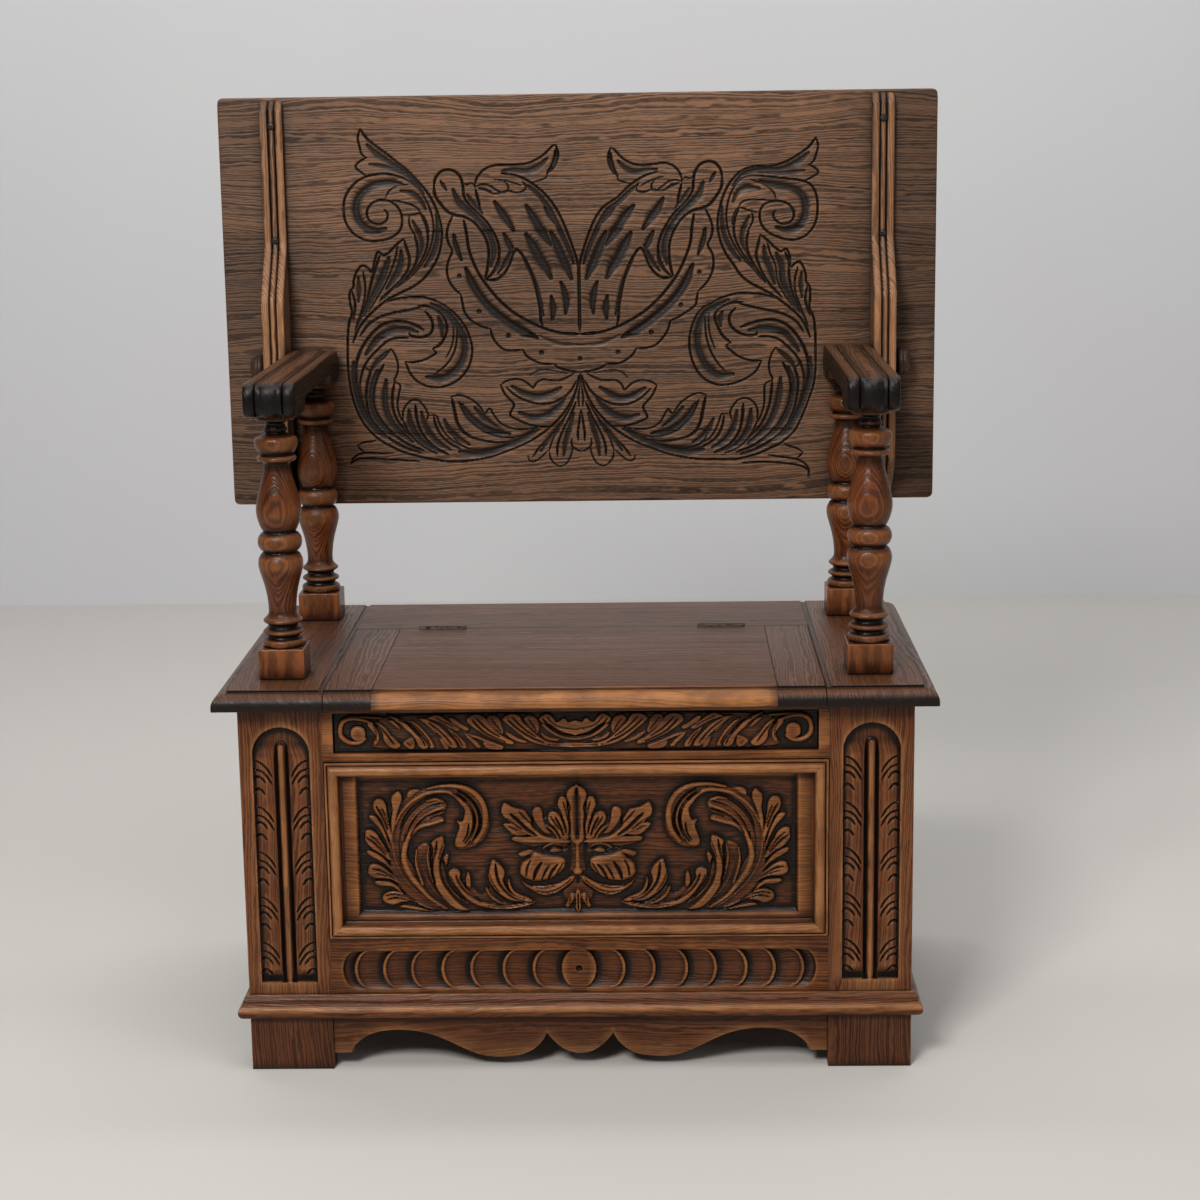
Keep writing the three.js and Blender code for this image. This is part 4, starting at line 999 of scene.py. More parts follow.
def node(tree, kind, inputs=None, **settings):
    made = tree.nodes.new("ShaderNode" + kind)
    for key, value in settings.items():
        setattr(made, key, value)
    return wired(tree, made, inputs or {})


def maths(tree, operation, *values, clamp=False):
    return node(tree, "Math", dict(enumerate(values)), operation=operation, use_clamp=clamp).outputs[0]


def summed(tree, value, factor, added):
    """value x factor + added."""
    return maths(tree, "MULTIPLY_ADD", value, factor, added)


def ranged(tree, value, low, high, to_low=0.0, to_high=1.0):
    return node(tree, "MapRange", dict(enumerate((value, low, high, to_low, to_high))), clamp=True).outputs[0]


def blended(tree, factor, first, second):
    return node(tree, "Mix", {0: factor, 6: first, 7: second}, data_type="RGBA").outputs[2]


def noise(tree, place, scale, detail, roughness):
    inputs = {"Vector": place, "Scale": scale, "Detail": detail, "Roughness": roughness}
    return node(tree, "TexNoise", inputs).outputs["Fac"]


def bump(tree, height, strength, distance):
    inputs = {"Strength": strength, "Distance": distance, "Height": height}
    return node(tree, "Bump", inputs).outputs[0]


def colour(value):
    """A colour written as on a screen, made linear."""
    parts = [int(value[i:i + 2], 16) / 255 for i in (0, 2, 4)]
    return [c / 12.92 if c <= 0.04045 else ((c + 0.055) / 1.055) ** 2.4 for c in parts] + [1.0]


def new_material(name):
    """A material, with its nodes and its shader."""
    material = bpy.data.materials.new(name)
    material.use_nodes = True
    return material, material.node_tree, material.node_tree.nodes["Principled BSDF"]


# For each kind of oak: its light, dark, worn (also the painted highlight), deepest (also the painted shade in
# hollows and corners) and end-grain colours; gloss, the lower the shinier; rings, the bands per metre across
# the grain in both directions; wave, how far they wander;
# soot, the painted shade and grime in corners and creases; patches, how uneven it is; end, how much the end
# grain shows.
OAKS = {
    "table_oak": ("785740 1f150f 9c7351 0d0907 2c1f19", 0.4, (170, 280), 24, 0.7, 0.18, 0.75),
    "frame_oak": ("6f3e20 2a150a a57044 080402 201109", 0.3, (260, 300), 16, 0.9, 0.18, 0.75),
    "batten_oak": ("8a6448 36221a b07c52 090504 221510", 0.34, (240, 240), 6, 0.9, 0.18, 0.75),
    "carved_oak": ("663718 241107 a66b3b 080402 201109", 0.3, (120, 300), 12, 0.92, 0.18, 0.75),
    "turned_oak": ("743f21 2e160a 99633c 030201 2e180c", 0.2, (50, 470), 4, 0.98, 0.42, 0.25),
    "arm_oak": ("573826 241610 7c5236 080504 0b0807", 0.28, (230, 150), 8, 0.85, 0.2, 0.95),
    "knob_oak": ("2e1e16 18100c 5a3c28 070504 1c130d", 0.3, (170, 130), 8, 0.85, 0.18, 0.75),
    "seat_oak": ("5c3820 3c261b a0683a 0a0706 0f0b09", 0.32, (240, 120), 14, 0.8, 0.14, 0.95),
    "plain_oak": ("86613f 5c4026 987650 201710 4a3520", 0.6, (90, 120), 12, 0.5, 0.18, 0.75),
}
GRAIN_AXES = {"X": (0, 1, 2), "Y": (1, 0, 2), "Z": (2, 0, 1)}
CORNER_REACH = 0.016
made_finishes = {}


def oak(name, grain, shift):
    """Stained and waxed oak, its grain along X, Y or Z. Each shift is another piece of timber. Hollows and
    corners get painted shade along with staining and grime, and high places get painted highlight along with
    wear.
    """
    key = (name, grain, round(shift, 3))
    if key in made_finishes:
        return made_finishes[key]
    shades, gloss, rings, wave, soot_and_corner_shade, patches, end = OAKS[name]
    light, dark, worn_and_highlight, deep, ends = (colour(shade) for shade in shades.split())
    material, tree, _ = new_material(f"{name}_{grain.lower()}_{len(made_finishes)}")
    tree.nodes.clear()
    texture = node(tree, "TexCoord")
    parts = node(tree, "SeparateXYZ", {0: texture.outputs["Object"]})
    along, *beside = (parts.outputs[axis] for axis in GRAIN_AXES[grain])
    place = node(tree, "CombineXYZ", dict(enumerate((along, *beside)))).outputs[0]
    offset = (shift * 1.7, shift * 0.9, shift * 1.3)

    def clouds(length, width, detail, roughness):
        """Noise drawn out along the grain, by its scales along and across it."""
        inputs = {"Vector": place, "Scale": (length, width, width), "Location": offset}
        return noise(tree, node(tree, "Mapping", inputs).outputs[0], 1.0, detail, roughness)

    rows = summed(tree, beside[0], rings[0], summed(tree, beside[1], rings[1], shift * 31.0))
    rows = summed(tree, clouds(2.4, 5.5, 1.0, 0.45), wave, rows)
    pitch = node(tree, "TexNoise", {"W": rows, "Scale": 0.19, "Detail": 2.0}, noise_dimensions="1D")
    rows = summed(tree, clouds(22.0, 60.0, 2.0, 0.6), 1.7, rows)
    rows = summed(tree, pitch.outputs["Fac"], 6.0, rows)
    ring = maths(tree, "SINE", maths(tree, "MULTIPLY", rows, math.tau))
    band = ranged(tree, summed(tree, clouds(60.0, 330.0, 2.0, 0.55), 2.2, ring), 0.5, 1.7)

    speck = ranged(tree, clouds(110.0, 1000.0, 2.0, 0.6), 0.42, 0.62)
    strength = ranged(tree, clouds(6.0, 40.0, 2.0, 0.5), 0.3, 0.65, 0.7, 1.0)
    grains = summed(tree, band, 0.72, maths(tree, "MULTIPLY", speck, 0.28))
    open_grain = maths(tree, "MULTIPLY", strength, grains)

    tint = blended(tree, open_grain, light, dark)
    facing = node(tree, "SeparateXYZ", {0: texture.outputs["Normal"]})
    ended = maths(tree, "ABSOLUTE", facing.outputs[GRAIN_AXES[grain][0]])
    tint = blended(tree, ranged(tree, ended, 0.72, 0.97, 0.0, end), tint, ends)
    shade = ranged(tree, clouds(3.5, 9.0, 3.0, 0.6), 0.3, 0.7, 1.0 - patches, 1.0 + patches)
    tone = node(tree, "Attribute", attribute_name="tone").outputs["Fac"]
    toned = node(tree, "HueSaturation", {"Value": maths(tree, "ADD", shade, tone), "Color": tint})

    # Above 0 the relief pales the finish (wear, with painted highlight); below 0 it darkens it (staining,
    # with painted shade).
    relief = node(tree, "Attribute", attribute_name="relief").outputs["Fac"]
    rub = ranged(tree, clouds(22.0, 34.0, 3.0, 0.6), 0.34, 0.6, 0.4, 1.0)
    rubbed = maths(tree, "MULTIPLY", ranged(tree, relief, 0.08, 0.9), rub, clamp=True)
    worn_and_highlight_tint = blended(tree, maths(tree, "MULTIPLY", open_grain, 0.42), worn_and_highlight, dark)
    tint = blended(tree, rubbed, toned.outputs["Color"], worn_and_highlight_tint)
    # Painted shade, with staining, in the hollows: the deepest colour where the relief is below 0.
    sunk = ranged(tree, relief, -0.1, -1.1)
    tint = blended(tree, maths(tree, "MULTIPLY", sunk, 0.94), tint, deep)
    # Painted shade, with grime, in corners and creases: the deepest colour where little is open around.
    corner = node(tree, "AmbientOcclusion", {"Distance": CORNER_REACH}, samples=6)
    corner_shade = ranged(tree, corner.outputs["AO"], 0.35, 0.92, soot_and_corner_shade, 0.0)

    rough = ranged(tree, open_grain, 0.0, 1.0, gloss, gloss + 0.16)
    shader = node(tree, "BsdfPrincipled", {
        "Base Color": blended(tree, corner_shade, tint, deep),
        "Roughness": maths(tree, "ADD", rough, ranged(tree, corner_shade, 0.0, 1.0, 0.0, 0.15)),
        "Specular IOR Level": 0.22,
        "Normal": bump(tree, maths(tree, "MULTIPLY", open_grain, -1.0), 0.5, 0.0005),
    })
    node(tree, "OutputMaterial", {0: shader.outputs[0]})
    made_finishes[key] = material
    return material


def steel(name, bright, dull, rough):
    """Old iron or steel with a brown bloom."""
    material, tree, shader = new_material(name)
    bloom = noise(tree, node(tree, "TexCoord").outputs["Object"], 240.0, 4.0, 0.65)
    wired(tree, shader, {
        "Base Color": blended(tree, ranged(tree, bloom, 0.35, 0.65), colour(bright), colour(dull)),
        "Metallic": 0.85,
        "Roughness": ranged(tree, bloom, 0.3, 0.7, rough, rough + 0.25),
        "Normal": bump(tree, bloom, 0.3, 0.0003),
    })
    return material


hinge_steel = steel("hinge_steel", "51483f", "221a14", 0.42)
screw_steel = steel("screw_steel", "4a433c", "1d1713", 0.38)


# ---------------------------------------------------------------- table top

PLANK_TONES = {"top": 0.04, "upper": -0.12, "lower": 0.02, "bottom": -0.04}
TOP_CORNER = 7.0


def planks():
    """Four planks edge to edge; the carving runs over their joints."""
    whole_low = extent("table_plank_bottom")[0]
    whole_high = extent("table_plank_top")[1]
    field_left, field_right, field_low, field_high = TOP_FIELD
    soft, joint = eased(2.5, 4), eased(JOINT_ARRIS, 2)
    for count, (name, base_tone) in enumerate(PLANK_TONES.items()):
        low, high = extent(f"table_plank_{name}")
        if name != "bottom":
            low[2] -= 0.2
        columns = fine(
            (low[0] + 6, field_left - 4, 12), (field_left, field_right, 0.95),
            (field_right + 4, high[0] - 6, 12),
        )
        first, last = max(low[2] + 1.2, field_low), min(high[2] - 1.2, field_high)
        rows = [(first, last, 0.95)]
        if name == "bottom":
            rows.insert(0, (low[2] + 5, first - 2, 9))
        if name == "top":
            rows.append((last + 2, high[2] - 4, 8))
        edges = (soft, soft, soft if name == "bottom" else joint, soft if name == "top" else joint)
        plank = board(
            f"plank_{name}", (low, high), "-Y", edges, (columns, fine(*rows)), top_carving,
            wear=0.2, stain_and_depth_shade=0.12, polish_and_highlight=0.45, soak_and_depth_shade=0.5,
        )
        round_corners(plank, whole_low, whole_high)
        mark_tone(plank, lambda x, y, z: (
            base_tone - 0.3 * ramp(np.abs(x), 270, 400) - 0.1 * ramp(x, 250, 400)
        ))
        finished(plank, "table_top", "table_oak", oak("table_oak", "X", count * 3.1), f"table_plank_{name}")


def round_corners(plank, low, high):
    """Rounds the four corners of the whole top, seen from the front."""
    places = corners_of(plank)
    seen = [0, 2]
    middle = (low + high)[seen] / 2 * MM
    half = ((high - low)[seen] / 2 - TOP_CORNER) * MM
    offset = places[:, seen] - middle
    past = np.maximum(np.abs(offset) - half, 0)
    pull = past.max(axis=1) / np.maximum(np.hypot(*past.T), 1e-9)
    rounded = (past > 0).all(axis=1)
    pulled = middle + np.sign(offset) * (half + past * pull[:, None])
    places[:, seen] = np.where(rounded[:, None], pulled, places[:, seen])
    set_corners(plank, places)


# From the middle of a bar outwards: (place across, depth of the face there).
BATTEN_REEDS = (
    (0, 0.5), (1.4, 0.7), (2.3, 1.3), (3.0, 2.4), (3.8, 3.2), (4.6, 2.4), (5.2, 1.0), (6.4, 0.3), (8.5, 0),
    (10.8, 0.1), (12.2, 0.5), (13.0, 1.1), (13.5, 1.9),
)
ARM_REEDS = (
    (0, 0), (3, 0.1), (6, 0.5), (8, 1.3), (9.6, 2.1), (11.4, 2.2), (13, 1.7), (13.9, 1.3), (14.3, 2.4),
    (15, 4.0), (15.7, 2.4), (16.2, 1.2), (17.6, 0.5), (20, 0.1), (22.5, 0), (25, 0.4), (26.6, 1.1),
    (27.6, 2.2), (28, 3.4),
)


def bar(name, middle_x, sizes, reeds, outline_of):
    """A bar whose outline, seen from the side, is drawn smaller where its reeded face is cut deeper."""
    rows, relief = [], []
    for offset, cut in [(-x, cut) for x, cut in reversed(reeds[1:])] + list(reeds):
        outline = np.array(outline_of(cut, sizes))
        rows.append(np.column_stack([np.full(len(outline), middle_x + offset), outline]))
        relief.append(np.full(len(outline), 0.35 - cut * 0.55))
    piece = shaped_grid(name, np.array(rows))
    mark_relief(piece, relief)
    return close_up(piece)


def densified(points, step):
    """More points on the straight runs of an outline."""
    dense = []
    for a, b in zip(points[:-1], points[1:]):
        count = max(1, int(math.dist(a, b) / step))
        dense += [(a[0] + (b[0] - a[0]) * i / count, a[1] + (b[1] - a[1]) * i / count) for i in range(count)]
    return dense + [points[-1]]


BATTEN_THIN = 10
BATTEN_DEEP = 54
CHEEK_TOP = 834
CHEEK_BOTTOM = 630


def batten_outline(cut, sizes):
    """Side view of a batten: thin, with a deep cheek where the peg goes through it."""
    low, high, table_face = sizes
    thin, deep = table_face - BATTEN_THIN + cut, table_face - BATTEN_DEEP + cut
    return densified([
        (table_face, low), (table_face, high), (thin + 1.5, high - 9), (thin, high - 13),
        (thin, CHEEK_TOP + 66), (thin - 1.2, CHEEK_TOP + 60), (thin - 4, CHEEK_TOP + 54),
        (deep + 5, CHEEK_TOP + 6), (deep + 1.6, CHEEK_TOP), (deep, CHEEK_TOP - 7),
        (deep, CHEEK_BOTTOM + 7), (deep + 1.6, CHEEK_BOTTOM), (deep + 5, CHEEK_BOTTOM - 6),
        (thin - 4, CHEEK_BOTTOM - 37), (thin - 1.2, CHEEK_BOTTOM - 42), (thin, CHEEK_BOTTOM - 48),
        (thin, low), (table_face, low),
    ], 14)


PEG_PLACE = (168, 748)
SLOT_RADIUS = 9.5
SLOT_TRAVEL = 92.5


def slotted(piece, middle_x):
    """Cuts the long slot that the peg runs in."""
    y, slot_top = PEG_PLACE
    slot_low = (slot_top - SLOT_TRAVEL) * MM
    cutter = settled(
        basic(bpy.ops.mesh.primitive_cylinder_add, vertices=32, radius=SLOT_RADIUS * MM, depth=60 * MM),
        (middle_x * MM, y * MM, slot_low), (0, math.pi / 2, 0),
    )
    places = corners_of(cutter)
    places[places[:, 2] > slot_low - 1e-6, 2] += SLOT_TRAVEL * MM
    set_corners(cutter, places)
    return smoothed(cut_away(piece, cutter))


def battens():
    low, high = extent("batten_right")
    middle = (low[0] + high[0]) / 2
    batten = bar("batten_right_shaped", middle, (low[2], high[2], high[1]), BATTEN_REEDS, batten_outline)
    slotted(batten, middle)
    # Paler on the lower cheek and darker at the top end; below about 735 mm it is darkened with painted
    # shade.
    mark_tone(batten, lambda x, y, z: (
        0.1 * ramp(z, 900, 800) - 0.5 * ramp(z, 1045, 1056) - 0.6 * ramp(z, 742, 728)
    ))
    add_wear_and_painted_light(batten, lambda x, y, z: 0.4 * ramp(z, 900, 820))
    finished_pair(
        batten, "batten_left_shaped", "table_top", "frame_oak", "batten_oak", "Z", (4.3, 8.9), "batten",
    )


def spun(profile, sides, axes):
    """Rings of places from (radius, height) pairs. Axes are those of the radius and of the height."""
    radii, heights = np.array(profile, float).T
    turns = np.linspace(0, math.tau, sides + 1)[:, None]
    places = np.empty((sides + 1, len(radii), 3))
    for axis, values in zip(axes, (radii * np.cos(turns), radii * np.sin(turns), heights)):
        places[..., axis] = values
    return places


def slotted_screw(name, radius, rise, slot_width, shank):
    """A screw with a rounded head and a slot. Its face looks to the front at the origin."""
    profile = [(0, shank), (radius * 0.4, shank), (radius * 0.45, 0.4), (radius * 0.9, 0.35)]
    profile += [(radius * out, -rise * up) for out, up in arc((0, 0), 1, 0, 90, 6)]
    screw = close_up(shaped_grid(name, spun(profile, 28, (0, 2, 1))), fill=False)
    slot = np.array([radius * 1.5, rise * 0.75, slot_width / 2])
    middle = np.array([0, -rise, 0])
    return take_out(screw, middle - slot, middle + slot)


SCREW_TURNS = {"upper_left": 0.5, "upper_right": 1.1, "lower_left": -0.4, "lower_right": 0.2}


def batten_screws():
    for key, angle in SCREW_TURNS.items():
        low, high = extent(f"batten_screw_{key}")
        x, _, z = (low + high) / 2 * MM
        screw = slotted_screw(f"slotted_screw_{key}", radius=4.4, rise=2.0, slot_width=1.2, shank=20)
        settled(screw, (x, (low[1] + 2.4) * MM, z), (0, angle, 0))
        finished(screw, "table_top", "screw_steel", screw_steel, f"batten_screw_{key}")


# ---------------------------------------------------------------- turned work

TURNED_SPREAD = 11.0


def turned(name, profile, place, sides=56, axes=(0, 1, 2)):
    """A turned piece from (radius, height) pairs, spun about its axis."""
    piece = shaped_grid(name, spun(profile, sides, axes) + np.array(place))
    radii, heights = np.array(profile, float).T
    runs = np.cumsum(np.concatenate([[0], np.hypot(np.diff(radii), np.diff(heights))]))
    spread = np.exp(-((runs[:, None] - runs) / TURNED_SPREAD) ** 2)
    around = (spread @ radii) / spread.sum(1)
    # Paler on the rings and darker in the grooves between: wear and staining, with painted highlight and
    # painted shade.
    mark_relief(piece, np.tile(np.clip((radii - around) * 0.46, -1.5, 0.45), (sides + 1, 1)))
    return close_up(piece, fill=False)


def smooth_profile(points, step=0.8):
    """A turned outline, smooth between its sharp places, which are written twice."""
    runs, run = [], [points[0]]
    for a, b in zip(points[:-1], points[1:]):
        if a == b:
            runs.append(run)
            run = []
        run.append(b)
    outline = []
    for run in runs + [run]:
        curve = np.array(run, float)
        outline += [tuple(p) for p in (smooth_line(curve, step) if len(run) > 1 else curve)]
    return outline


# (radius, height over the seat)
BALUSTER = [
    (22.0, 34.0), (22.0, 34.0), (22.8, 35.6), (23.3, 38.2), (22.8, 40.8), (20.4, 42.6), (18.2, 43.4),
    (18.2, 43.4), (17.6, 45.0), (18.4, 46.8), (21.2, 48.4), (22.3, 49.8), (22.2, 51.2), (20.8, 52.6),
    (17.4, 54.4), (16.2, 56.2), (16.6, 58.4), (19.6, 60.4), (21.4, 62.0), (21.6, 63.4), (20.6, 65.0),
    (18.6, 66.6), (16.4, 69.4), (16.4, 69.4), (15.6, 71.4), (15.3, 75.0), (15.6, 82.0), (16.8, 92.0),
    (18.8, 102.0), (21.6, 112.0), (23.8, 120.0), (24.7, 126.0), (24.0, 132.0), (21.6, 137.0), (19.4, 139.0),
    (19.4, 139.0), (19.0, 140.6), (21.2, 142.4), (23.6, 146.4), (24.4, 151.0), (23.6, 155.6), (21.2, 159.6),
    (18.6, 161.4), (18.6, 161.4), (18.0, 163.0), (19.4, 165.0), (22.0, 171.0), (24.2, 179.0), (24.8, 187.0),
    (23.6, 196.0), (20.8, 208.0), (17.4, 220.0), (15.0, 229.0), (14.3, 235.0), (14.6, 238.0), (14.6, 238.0),
    (16.4, 239.6), (20.4, 241.0), (21.8, 242.8), (21.7, 244.4), (20.2, 246.2), (17.4, 247.6), (17.4, 247.6),
    (17.6, 249.0), (19.6, 250.0), (22.0, 253.6), (23.6, 258.6), (23.7, 262.4), (22.6, 265.6), (21.2, 266.8),
    (21.2, 266.8), (18.6, 267.6), (14.6, 269.4), (12.2, 271.0), (12.2, 271.0), (11.4, 272.0), (12.6, 274.2),
    (12.4, 276.4), (11.2, 278.4), (10.8, 280.6), (11.8, 282.6), (15.4, 284.4), (20.4, 285.6), (20.4, 285.6),
    (21.4, 286.4), (21.4, 291.0),
]
BLOCK_HALF = 25
BLOCK_TOP = 34


def baluster(name, x, y):
    """A turned support on its square block."""
    profile = [(0.0, 26.0), (12.0, 26.0)] + smooth_profile(BALUSTER) + [(0.0, 291.0)]
    body = turned(name + "_turned", profile, (x, y, SEAT_HEIGHT))
    low = np.array([x - BLOCK_HALF, y - BLOCK_HALF, SEAT_HEIGHT])
    high = np.array([x + BLOCK_HALF, y + BLOCK_HALF, SEAT_HEIGHT + BLOCK_TOP])
    steps = [[middle + offset for offset in (-20, -10, 0, 10, 20)] for middle in (x, y)]
    block = board(name + "_block", (low, high), "+Z", [eased(1.6)] * 4, steps)
    # A little darker all over and darker over the base rings; darker at the top with painted shade under the
    # arm.
    return mark_tone(joined(name, body, block), lambda x, y, z: (
        -0.4 * ramp(z, 514, 506) * ramp(z, 474, 477) - 0.3 * ramp(z, 712, 722) - 0.06
    ))


def balusters():
    for row, side, shift in (
        ("front", "left", 4.9), ("front", "right", 2.3), ("rear", "left", 10.0), ("rear", "right", 7.4),
    ):
        low, high = extent(f"baluster_{row}_{side}")
        x, y, _ = (low + high) / 2
        piece = baluster(f"turned_{row}_{side}", x, y)
        finished(piece, "base", "turned_oak", oak("turned_oak", "Z", shift), f"baluster_{row}_{side}")


ARCH_FRONT = -114
ARCH_BACK = 131
ARCH_RISE = 15
BACK_RADIUS = 21
ROLL_SIZE = (17, 19)
ROLL_POWER = 2 / 2.7
TOP_CUT_SHARE = 0.45


def arm_outline(cut, sizes):
    """Side view of an arm: rolled over at the front, arched below, round at the back."""
    y_front, y_back, z_low, z_high = sizes
    top_cut = cut * TOP_CUT_SHARE
    points = [(y_front + ROLL_SIZE[1] + 4, z_low), (ARCH_FRONT - 3, z_low), (ARCH_FRONT - 0.6, z_low + 1)]
    points += arc((ARCH_FRONT + ARCH_RISE, z_low), ARCH_RISE, 165, 90, 6)
    points += [(ARCH_FRONT + 60, z_low + ARCH_RISE), (ARCH_BACK - 60, z_low + ARCH_RISE)]
    points += arc((ARCH_BACK - ARCH_RISE, z_low), ARCH_RISE, 90, 15, 6)
    points += [(ARCH_BACK + 0.6, z_low + 1), (ARCH_BACK + 3, z_low)]
    centre = (y_back - BACK_RADIUS, z_high - BACK_RADIUS)
    lowest = math.degrees(math.asin((z_low - centre[1]) / BACK_RADIUS))
    points += arc(centre, BACK_RADIUS - top_cut, lowest, 90, 13)
    points += [(y_front + 170, z_high - top_cut), (y_front + 60, z_high - top_cut)]
    for c, s in arc((0, 0), 1, 90, 270, 17):
        depth = cut * (TOP_CUT_SHARE + (1 - TOP_CUT_SHARE) * abs(c))
        out = (ROLL_SIZE[0] - depth) * math.copysign(abs(c) ** ROLL_POWER, c)
        up = (ROLL_SIZE[1] - top_cut) * math.copysign(abs(s) ** ROLL_POWER, s)
        points.append((y_front + ROLL_SIZE[0] + out, z_high - ROLL_SIZE[1] + up))
    return densified(points + [points[0]], 18)


def arms():
    low, high = extent("arm_right")
    sizes = (low[1], high[1], low[2], high[2])
    arm = bar("arm_right_shaped", (low[0] + high[0]) / 2, sizes, ARM_REEDS, arm_outline)
    add_wear_and_painted_light(arm, lambda x, y, z: -1.2 * ramp(y, low[1] + 16, low[1] + 5))
    finished_pair(arm, "arm_left_shaped", "base", "arm_oak", "arm_oak", "Y", (1.9, 6.7), "arm")


# (radius, height over the start of the knob)
KNOB = [
    (12.6, 0.0), (12.6, 1.0), (12.6, 1.0), (14.4, 2.2), (16.0, 4.2), (16.9, 6.6), (17.0, 8.4), (16.6, 9.6),
    (16.6, 9.6), (15.6, 10.2), (15.4, 11.0), (15.4, 11.0), (15.6, 12.4), (14.2, 15.6), (11.0, 18.2),
    (6.4, 19.6), (0.0, 20.0),
]
KNOB_LENGTH = 20
PEG_RADIUS = 9.0


def pegs():
    low, high = extent("pivot_peg_right")
    inner, head = low[0], high[0] - KNOB_LENGTH
    profile = [(0.0, inner), (PEG_RADIUS - 0.8, inner), (PEG_RADIUS, inner + 1), (PEG_RADIUS, head)]
    profile += [(radius, head + height) for radius, height in smooth_profile(KNOB, 0.7)]
    _, y, z = (low + high) / 2
    peg = turned("peg_right", profile, (0, y, z), sides=40, axes=(1, 2, 0))
    finished_pair(peg, "peg_left_turned", "pegs", "turned_oak", "knob_oak", "X", (4.3, 2.3), "pivot_peg")


# ---------------------------------------------------------------- seat

# (inset from the edge, set back from the face): a round below a small square step, and the lid's rebate.
SEAT_EDGE = [
    (1.2, 21.0), (0.3, 20.6), (0.0, 19.6), (0.0, 16.0), (0.1, 14.4), (0.6, 11.6), (1.7, 8.9), (3.4, 6.6),
    (5.8, 4.8), (8.8, 3.6), (12.0, 3.05), (14.0, 3.0), (15.3, 3.0), (15.5, 2.7), (15.5, 0.5), (16.2, 0.0),
]
LID_REBATE = [
    (0.6, 21.0), (0.0, 20.4), (0.0, 2.4), (0.5, 1.9), (5.0, 1.7), (5.4, 1.5), (5.5, 0.6), (6.2, 0.0),
]
SEAT_WEAR = -0.6
HINGE_PLACES = (("left", -167.5), ("right", 167.5))
HINGE_HOLES = (-17.1, 17.1)
HINGE_SCREW_HEIGHT = SEAT_HEIGHT - 11.7
HOUSING_HALF = 28.8
HOUSING_HEIGHTS = (421.5, 446)


def seat():
    """The ends of the seat, the lid with its cleats, and the strip that the hinges are screwed to."""
    rounded, tight = moulded(SEAT_EDGE), eased(0.6, 2)
    lid_edges = (tight, tight, rounded, tight)
    for name, node_name, body, edges, columns, shifts in (
        ("end_board", "seat_end_board", "base", (moulded(LID_REBATE), rounded, rounded, eased(1.2)),
         (12, 20, 9), (2.2, 7.4)),
        ("cleat", "lid_cleat", "lid", lid_edges, (4, 4, 9), (4.6, 5.8)),
    ):
        box = extent(node_name + "_right")
        piece = board(name + "_right", box, "+Z", edges, (columns, (20, 4, 14)), wear=SEAT_WEAR)
        finished_pair(piece, name + "_left", body, "seat_oak", "seat_oak", "Y", shifts, node_name)

    lid = board("lid_board", extent("lid_panel"), "+Z", lid_edges, ((4, 4, 12), (20, 4, 12)), wear=SEAT_WEAR)
    add_wear_and_painted_light(lid, lambda x, y, z: (
        1.5 * ramp(y, -214, -224) * ramp(np.abs(x), 222, 200) * ramp(z, 419.5, 424)
    ))
    housed(lid, 84.2, 92)
    finished(lid, "lid", "seat_oak", oak("seat_oak", "X", 1.2), "lid_panel")
    strip_edges, ways = (tight, tight, tight, eased(1.2)), ((4, 4, 12), (4, 4, 12))
    strip = board("hinge_strip", extent("hinge_rail"), "+Z", strip_edges, ways, wear=SEAT_WEAR)
    housed(strip, 80, 89.8)
    finished(strip, "base", "seat_oak", oak("seat_oak", "X", 9.6), "hinge_rail")


def housed(piece, front, back):
    """Cuts the two housings of the hinges."""
    low, high = HOUSING_HEIGHTS
    for _, x in HINGE_PLACES:
        smoothed(take_out(piece, (x - HOUSING_HALF, front, low), (x + HOUSING_HALF, back, high)))


def hinges():
    """The hinges keep their frame solids, with small screws in their holes."""
    for side, x in HINGE_PLACES:
        for part in ("hinge_leaf_rail", "hinge_leaf_lid", "hinge_pin"):
            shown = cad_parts[f"{part}_{side}"]
            shown.data.materials.clear()
            shown.data.materials.append(hinge_steel)
        for count, offset in enumerate(HINGE_HOLES):
            for body, y, turn in (("base", 87.5, 0), ("lid", 86.5, math.pi)):
                screw = slotted_screw(
                    f"hinge_screw_{body}_{side}_{count}", radius=1.75, rise=0.25, slot_width=0.5, shank=9,
                )
                place = ((x + offset) * MM, y * MM, HINGE_SCREW_HEIGHT * MM)
                settled(screw, place, (0, 0.7 * count + 0.3, turn))
                finished(screw, body, "hinge_steel", hinge_steel)


# ---------------------------------------------------------------- chest


